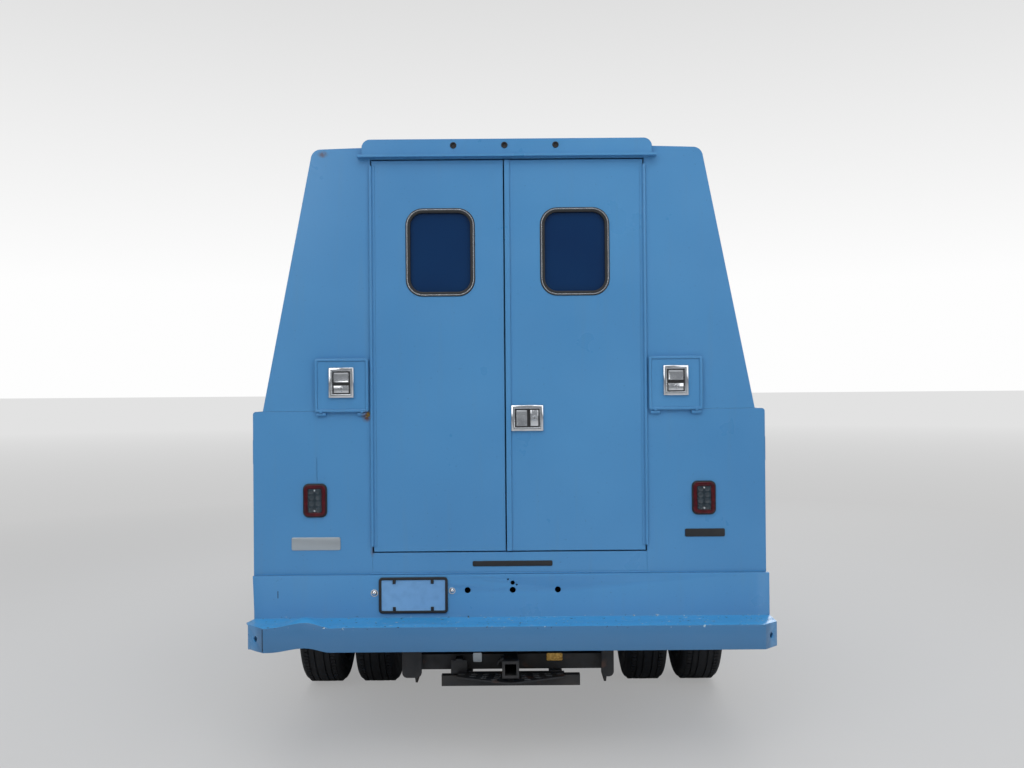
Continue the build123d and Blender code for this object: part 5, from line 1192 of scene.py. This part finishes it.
# %% A latch on every locker door
pattern = paddle_latch("locker_latch", (0, 0), 0.116, 0.140, 0.0)
for side, sign in sides:
    for bay in ("front", "middle", "rear"):
        low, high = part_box(f"{bay}_locker_door_{side}")
        place_y = {"front": low.y + 0.105, "middle": (low.y + high.y) / 2, "rear": high.y - 0.105}[bay]
        place_z = low.z + 0.110 if bay == "middle" else (low.z + high.z) / 2 + 0.02
        latch = stood(copied(pattern, f"locker_latch_{bay}_{side}"), (sign * side_skin, place_y, place_z),
                      sideways[side])
        carry(latch, f"{bay}_locker_door_{side}")
bpy.data.objects.remove(pattern)
print("locker latches:", 6)

# %% [markdown]
# ## Reflectors along the sides
# A wide truck carries a red marker low at the rear of each side and an amber one at the front. Each
# is a rounded lens on a thin black base, made facing the rear and turned to its side.

# %% Side markers
marker_z = 0.614
for side, sign in sides:
    for name, finish, place_y in (("rear", "lamp_red", -2.690), ("front", "lamp_amber", -0.120)):
        marker_base = rounded_panel(f"marker_base_{name}_{side}", (0, 0), 0.100, 0.036, 0.010, -0.003, 0.0, 3)
        marker = rounded_panel(f"marker_{name}_{side}", (0, 0), 0.090, 0.028, 0.008, -0.008, -0.003, 3)
        round_edges(marker, 0.002, 2)
        for piece, coating in ((marker_base, "trim_black"), (marker, finish)):
            stood(piece, (sign * side_skin, place_y, marker_z), sideways[side])
            dress(piece, coating)
print("side markers:", 4)

# %% [markdown]
# ## Window gaskets of the cab
# The windscreen, the back window and the door windows sit in black rubber. Each gasket is a sheet
# between four corners, with its corners rounded, its middle cut out and a thickness given to it.

# %% Windscreen, back window and door windows
def screen_y(z):
    """How far forward the windscreen's slope lies at a height."""
    return 1.6425 - (z - 1.320) * 0.640 / 0.620


def back_y(z):
    return 0.0375 + (z - 1.310) * 0.100 / 0.630


def door_x(z):
    return 0.994 - (z - 1.310) * 0.194 / 0.616


screen_corners = [(-0.905, screen_y(1.376), 1.376), (0.905, screen_y(1.376), 1.376),
                  (0.744, screen_y(1.874), 1.874), (-0.744, screen_y(1.874), 1.874)]
screen_gasket = quad_frame("windscreen_gasket", screen_corners, 0.045, 0.026, 0.010)
dress(round_edges(screen_gasket, 0.003), "trim_black")
back_corners = [(0.684, back_y(1.366), 1.366), (-0.684, back_y(1.366), 1.366), (-0.624, back_y(1.784), 1.784),
                (0.624, back_y(1.784), 1.784)]
back_gasket = quad_frame("back_window_gasket", back_corners, 0.045, 0.024, 0.010)
dress(round_edges(back_gasket, 0.003), "trim_black")
for side, sign in sides:
    corners = [(sign * (door_x(z) + 0.001), y, z) for y, z in
               ((0.4535, 1.337), (1.3520, 1.337), (0.9340, 1.803), (0.4535, 1.803))]
    gasket = quad_frame(f"door_gasket_{side}", corners, 0.034, 0.020, 0.008)
    dress(round_edges(gasket, 0.0025), "trim_black", f"cab_door_{side}")
print("gaskets:", 4)

# %% [markdown]
# ## Wipers
# A wiper is a spindle cap, a tapering arm and a blade with its rubber. It is built lying flat, as on
# a bench, with the screen's slope as the bench's surface, and is then tilted into place.

# %% Arm and blade
slope = atan2(0.620, 0.640)
for side, sign in sides:
    arm = start_block("arm", (-0.009, 0.0, 0.012), (0.009, 0.330, 0.020))
    pick(arm, lambda place, normal: normal.y > 0.9)
    bpy.ops.transform.resize(value=(0.45, 1, 0.6), center_override=(0, 0.330, 0.014))
    round_edges(arm, 0.002, 1)
    cap = turned("cap", (0, 0, -0.004), (0, 0, 1),
                 ((0.0, 0.018), (0.020, 0.016), (0.026, 0.010), (0.027, 0.0)), 20)
    blade = start_block("blade", (-0.006, 0.110, 0.0015), (0.006, 0.520, 0.011))
    pick(blade, skyward)
    bpy.ops.transform.resize(value=(0.5, 1, 1))
    round_edges(blade, 0.0015, 1)
    wiper = joined(f"wiper_{side}", [cap, arm, blade])
    lean = Matrix.Rotation(radians(72), 4, "Z")
    foot = Vector((-0.120 if sign < 0 else 0.640, screen_y(1.372) + 0.003, 1.372 + 0.003))
    tilt = Matrix.Translation(foot) @ Matrix.Rotation(pi - slope, 4, "X") @ Matrix.Rotation(pi, 4, "X") @ lean
    placed(wiper, tilt)
    dress(wiper, "trim_black")
print("wipers:", 2)

# %% [markdown]
# ## Mirrors and door handles
# The mirror head's glass is a rounded panel let into its rear face, with a small round wide-angle
# glass below. The door handle gets a black pull and a key cylinder.

# %% Mirror glass, pulls and cylinders
for side, sign in sides:
    low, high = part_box(f"mirror_{side}")
    head_x = sign * 1.195
    flat_glass = rounded_panel(f"mirror_glass_{side}", (head_x, 1.548), 0.172, 0.186, 0.018, low.y - 0.0015,
                               low.y + 0.004, 4)
    round_edges(flat_glass, 0.0008, 1)
    dress(flat_glass, "mirror_glass", f"cab_door_{side}")
    round_glass = turned(f"wide_mirror_{side}", (head_x, low.y, 1.413), (0, -1, 0),
                         ((-0.002, 0.036), (0.0010, 0.036), (0.0030, 0.032), (0.0048, 0.020), (0.0055, 0.008),
                          (0.0056, 0.0)), 32)
    dress(round_glass, "mirror_glass", f"cab_door_{side}")
    pull = start_block(f"door_pull_{side}", (-0.0845, -0.031, -0.0165), (0.0845, 0.0, 0.0165))
    pick(pull, rearward)
    bpy.ops.mesh.inset(thickness=0.006)
    bpy.ops.transform.translate(value=(0, 0.003, 0))
    round_edges(pull, 0.004, 2, 20)
    stood(pull, (sign * 1.0085, 0.5315, 1.197), sideways[side])
    dress(pull, "trim_black", f"cab_door_{side}")
    # The cylinder's black bar is painted shade for its key slot.
    barrel, slot_shade = lock_cylinder(f"door_cylinder_{side}", (0, 0), 0.0, 0.012)
    for piece, finish in ((barrel, "chrome"), (slot_shade, "trim_black")):
        stood(piece, (sign * 1.0095, 0.4900, 1.148), sideways[side])
        dress(piece, finish, f"cab_door_{side}")
print("mirrors and handles:", 2)

# %% [markdown]
# ## Headlamps and turn signals
# Each front corner has a wide rectangular headlamp and, wrapped round the corner, an amber turn
# signal. A bright bowl and bulb show through a clear fluted lens in a black bezel.

# %% Bowl, lens, bezel and signal
nose_sweep = 0.050 / 0.320


def face_y_at(x):
    """The nose's front, seen from above, between its flat middle and its corner."""
    return 2.9015 - (abs(x) - 0.560) * nose_sweep


def around(corners, sign):
    """Four corners in the order that makes their sheet face forward on either side."""
    return corners if sign > 0 else [corners[index] for index in (1, 0, 3, 2)]


inner, outer, low_z, high_z = 0.652, 0.872, 0.902, 1.143
for side, sign in sides:
    corners = around([(sign * x, face_y_at(x) + 0.004, z) for x, z in
                      ((outer, low_z), (inner, low_z), (inner, high_z), (outer, high_z))], sign)
    bezel = quad_frame(f"headlamp_bezel_{side}", corners, 0.022, 0.014, 0.016)
    dress(round_edges(bezel, 0.003), "trim_black")
    turn_out = Vector((sign * nose_sweep, 1, 0)).normalized()
    bowl_x = (inner + outer) / 2
    bowl_centre = (sign * bowl_x, face_y_at(bowl_x), (low_z + high_z) / 2)
    bowl = turned(f"headlamp_bowl_{side}", bowl_centre, (0, 1, 0),
                  ((-0.002, 0.092), (0.0050, 0.092), (0.0060, 0.088), (0.0010, 0.070), (-0.0004, 0.040),
                   (0.0004, 0.020), (0.0060, 0.016), (0.0072, 0.008), (0.0074, 0.0)), 40)
    dress(bowl, "chrome")
    lens = quad_sheet(f"headlamp_lens_{side}", [Vector(corner) + turn_out * 0.004 for corner in corners])
    cut_corners(lens, 0.020, 4)
    use_modifier(lens, "SOLIDIFY", thickness=0.003, offset=0)
    dress(lens, "lamp_lens", "chassis")
    signal_corners = [(sign * (0.880 + 0.130 * share), 2.8515 - 0.170 * share, z) for share, z in
                      ((0.06, low_z), (0.94, low_z), (0.94, high_z), (0.06, high_z))]
    signal = quad_sheet(f"turn_signal_{side}", around(signal_corners, sign))
    cut_corners(signal, 0.014, 4)
    use_modifier(signal, "SOLIDIFY", thickness=0.012, offset=0)
    round_edges(signal, 0.003, 2)
    dress(signal, "lamp_amber", "chassis")
print("headlamps:", 2)

# %% [markdown]
# ## Bench seat
# The seat is a sprung bench: a cushion and a backrest, each of vinyl and cloth sewn into six panels
# over foam. The panels are faces of one block that are inset and lifted one by one, so the seams stay
# low between them, and a subdivision surface then crowns them as foam does.

# %% Cushion, backrest and their plinth
def padded_block(name, low, high, cuts, lift_axis, taper):
    """A foam block cut into panels whose faces swell between low seams."""
    pad = start_block(name, low, high)
    pick(pad, taper[0])
    bpy.ops.transform.resize(value=taper[1])
    for cut in cuts:
        bpy.ops.mesh.select_all(action="SELECT")
        bpy.ops.mesh.bisect(plane_co=(cut, 0, 0), plane_no=(1, 0, 0))
    middle = (low[1] + high[1]) / 2 if lift_axis == 2 else (low[2] + high[2]) / 2
    bpy.ops.mesh.select_all(action="SELECT")
    across = [0.0, 0.0, 0.0]
    across[1 if lift_axis == 2 else 2] = 1.0
    bpy.ops.mesh.bisect(plane_co=[middle * part for part in across], plane_no=across)
    leave()
    pick(pad, lambda place, normal: True)
    bpy.ops.mesh.inset(thickness=0.006, use_individual=True)
    bpy.ops.mesh.inset(thickness=0.020, depth=0.012, use_individual=True)
    leave()
    use_modifier(pad, "SUBSURF", levels=2, render_levels=2)
    return pad


seat_low, seat_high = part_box("seat")
cuts = [seat_low.x + (seat_high.x - seat_low.x) * share / 6 for share in range(1, 6)]
cushion = padded_block("seat_cushion", (seat_low.x + 0.008, seat_low.y + 0.130, seat_low.z + 0.095),
                       (seat_high.x - 0.008, seat_high.y - 0.010, seat_low.z + 0.305), cuts, 2,
                       (lambda place, normal: normal.z < -0.9, (1, 0.90, 1)))
dress(cushion, "seat_fabric", smooth=60)
backrest = padded_block("seat_backrest", (seat_low.x + 0.008, -0.052, 0.0),
                        (seat_high.x - 0.008, 0.052, 0.520), cuts, 1, (skyward, (1, 0.72, 1)))
stood(backrest, (0, seat_low.y + 0.130, seat_low.z + 0.265), Matrix.Rotation(radians(9.5), 4, "X"))
dress(backrest, "seat_fabric", smooth=60)
plinth = start_block("seat_plinth", (seat_low.x + 0.030, seat_low.y + 0.120, seat_low.z),
                     (seat_high.x - 0.030, seat_high.y - 0.160, seat_low.z + 0.105))
pick(plinth, lambda place, normal: abs(normal.z) < 0.1)
bpy.ops.mesh.inset(thickness=0.014, depth=-0.008, use_individual=True)
round_edges(plinth, 0.004, 2)
dress(plinth, "trim_black")
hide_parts("seat")
print("seat faces:", len(cushion.data.polygons) + len(backrest.data.polygons))

# %% [markdown]
# ## Dashboard
# The dashboard's block gets a hooded cluster with two dials in front of the driver, four vents, a
# radio face and a glove-box lid. All are small slabs with worked faces, tilted to the dash's rear face.

# %% Cluster, vents, radio and glove box
face_tilt = Matrix.Rotation(radians(-20), 4, "X")


def on_dash(piece, x, z, y):
    return stood(piece, (x, y, z), face_tilt)


hood = start_block("cluster_hood", (-0.190, -0.040, -0.075), (0.190, 0.080, 0.065))
pick(hood, rearward)
bpy.ops.mesh.inset(thickness=0.012)
bpy.ops.mesh.extrude_region_move(TRANSFORM_OT_translate={"value": (0, 0.034, 0)})
round_edges(hood, 0.008, 3, 40)
on_dash(hood, -0.380, 1.262, 1.150)
dress(hood, "trim_black")
dials = [turned(f"dial_{index}", (x, -0.006, -0.005), (0, -1, 0),
                ((-0.002, 0.050), (0.006, 0.050), (0.008, 0.047), (0.002, 0.044), (0.001, 0.008),
                 (0.005, 0.006), (0.005, 0.0)), 32) for index, x in enumerate((-0.105, 0.0, 0.105))]
dress(on_dash(joined("dials", dials), -0.380, 1.262, 1.150), "chrome")
slabs = []
for index, (x, width) in enumerate(((-0.700, 0.130), (-0.060, 0.120), (0.080, 0.120), (0.700, 0.130))):
    vent = start_block(f"vent_{index}", (x - width / 2, -0.016, -0.030), (x + width / 2, 0.020, 0.030))
    pick(vent, rearward)
    bpy.ops.mesh.inset(thickness=0.006)
    bpy.ops.mesh.extrude_region_move(TRANSFORM_OT_translate={"value": (0, 0.012, 0)})
    leave()
    slabs.append(round_edges(vent, 0.002, 1))
    for level in (-1, 0, 1):
        slat = start_block(f"slat_{index}_{level}", (x - width / 2 + 0.006, -0.014, level * 0.015 - 0.002),
                           (x + width / 2 - 0.006, -0.004, level * 0.015 + 0.002))
        slabs.append(round_edges(slat, 0.0008, 1))
vents = on_dash(joined("dash_vents", slabs), 0.0, 1.245, 1.132)
dress(vents, "trim_black")
for name, x, width, height, z in (("radio_face", 0.010, 0.185, 0.054, 1.158),
                                  ("glove_box_lid", 0.420, 0.340, 0.110, 1.160)):
    slab = start_block(name, (-width / 2, -0.012, -height / 2), (width / 2, 0.020, height / 2))
    pick(slab, rearward)
    bpy.ops.mesh.inset(thickness=0.007)
    bpy.ops.mesh.inset(thickness=0.0015, depth=-0.003)
    round_edges(slab, 0.003, 2)
    stood(slab, (x, 1.146, z), Matrix.Rotation(radians(38), 4, "X"))
    dress(slab, "trim_black")
print("dashboard pieces:", 5)

# %% [markdown]
# ## Tow gear and step
# Under the bumper hang a trailer socket with its lid, two bare tags on the cross bar, a hook for the
# safety chain and the cleats of the step. The hook is a small circle spun into a rod's bend.

# %% Socket, tags, hook and cleats
bar_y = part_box("crossmembers")[0].y - 0.0255
socket = turned("trailer_socket", (-0.238, bar_y, 0.428), (0, -1, 0),
                ((0.0, 0.030), (0.040, 0.028), (0.044, 0.024), (0.044, 0.020), (0.020, 0.018),
                 (0.020, 0.0)), 20)
lid = start_block("socket_lid", (-0.276, bar_y - 0.054, 0.398), (-0.200, bar_y - 0.046, 0.462))
round_edges(lid, 0.004, 2)
hinge = start_block("socket_hinge", (-0.254, bar_y - 0.054, 0.456), (-0.222, bar_y, 0.468))
round_edges(hinge, 0.002, 1)
dress(joined("trailer_socket", [hinge, lid, socket]), "trim_black")
for name, x, z, width, height, finish in (("bar_tag_pale", -0.155, 0.4600, 0.042, 0.044, "brushed_plate"),
                                          ("bar_tag_brass", 0.204, 0.4600, 0.075, 0.036, "brass")):
    tag = rounded_panel(name, (x, z), width, height, 0.006, bar_y - 0.0030, bar_y + 0.0005, 3)
    round_edges(tag, 0.001, 1)
    dress(tag, finish, "chassis")
select_only()
bpy.ops.mesh.primitive_circle_add(vertices=12, radius=0.0065, location=(-0.058, bar_y - 0.024, 0.432))
hook = settle(bpy.context.object)
named(hook, "chain_hook")
edit_all()
bpy.ops.mesh.spin(steps=14, angle=radians(-230), center=(-0.036, bar_y - 0.024, 0.432), axis=(0, 1, 0))
bpy.ops.mesh.select_all(action="SELECT")
bpy.ops.mesh.remove_doubles(threshold=1e-5)
bpy.ops.mesh.select_all(action="DESELECT")
bpy.ops.mesh.select_mode(type="VERT")
bpy.ops.mesh.select_non_manifold()
bpy.ops.mesh.edge_face_add()
bpy.ops.mesh.select_all(action="SELECT")
bpy.ops.mesh.normals_make_consistent(inside=False)
leave()
eye = turned("hook_eye", (-0.036, bar_y + 0.002, 0.452), (0, -1, 0),
             ((0.0, 0.014), (0.030, 0.012), (0.032, 0.009), (0.032, 0.0)), 16)
dress(joined("chain_hook", [eye, hook]), "engine_metal")
cleats = []
step_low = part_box("rear_step")[0]
for row in range(4):
    reach = 0.225 - row * 0.050
    count = 9 - 2 * row
    for index in range(count):
        x = (index - (count - 1) / 2) * (2 * reach / max(count - 1, 1))
        y = step_low.y + 0.135 - row * 0.030
        cleat = start_block(f"cleat_{row}_{index}", (x - 0.015, y - 0.006, 0.4000),
                            (x + 0.015, y + 0.006, 0.4046))
        cleats.append(round_edges(cleat, 0.0018, 1))
dress(joined("step_cleats", cleats), "engine_metal", "chassis")
print("cleats:", len(cleats))

# %% [markdown]
# ## Small marks of use
# A run of sealant stands on the body above the left tail lamp, a cable hangs inside the left window,
# and a dark joint shows where the bumper's left end cap meets its face.

# %% Sealant, cable and joint
seal_run = start_block("seal_run", (-0.8995, rear_skin - 0.0016, 1.291), (-0.8955, rear_skin + 0.0006, 1.396))
pick(seal_run, skyward)
bpy.ops.transform.resize(value=(0.5, 1, 1))
dress(round_edges(seal_run, 0.0008, 1), "body_paint")
cable_line = start_block("window_cable", (-0.3772, -2.7590, 2.150), (-0.3728, -2.7550, 2.545))
dress(round_edges(cable_line, 0.0012, 1), "trim_black", "rear_door_left")
joint = start_block("cap_joint", (-1.1065, tail_y + 0.0010, bumper_low.z + 0.004),
                    (-1.1030, tail_y + 0.0060, step_z - 0.006))
dress(round_edges(joint, 0.0008, 1), "trim_black")
print("marks of use: 3")
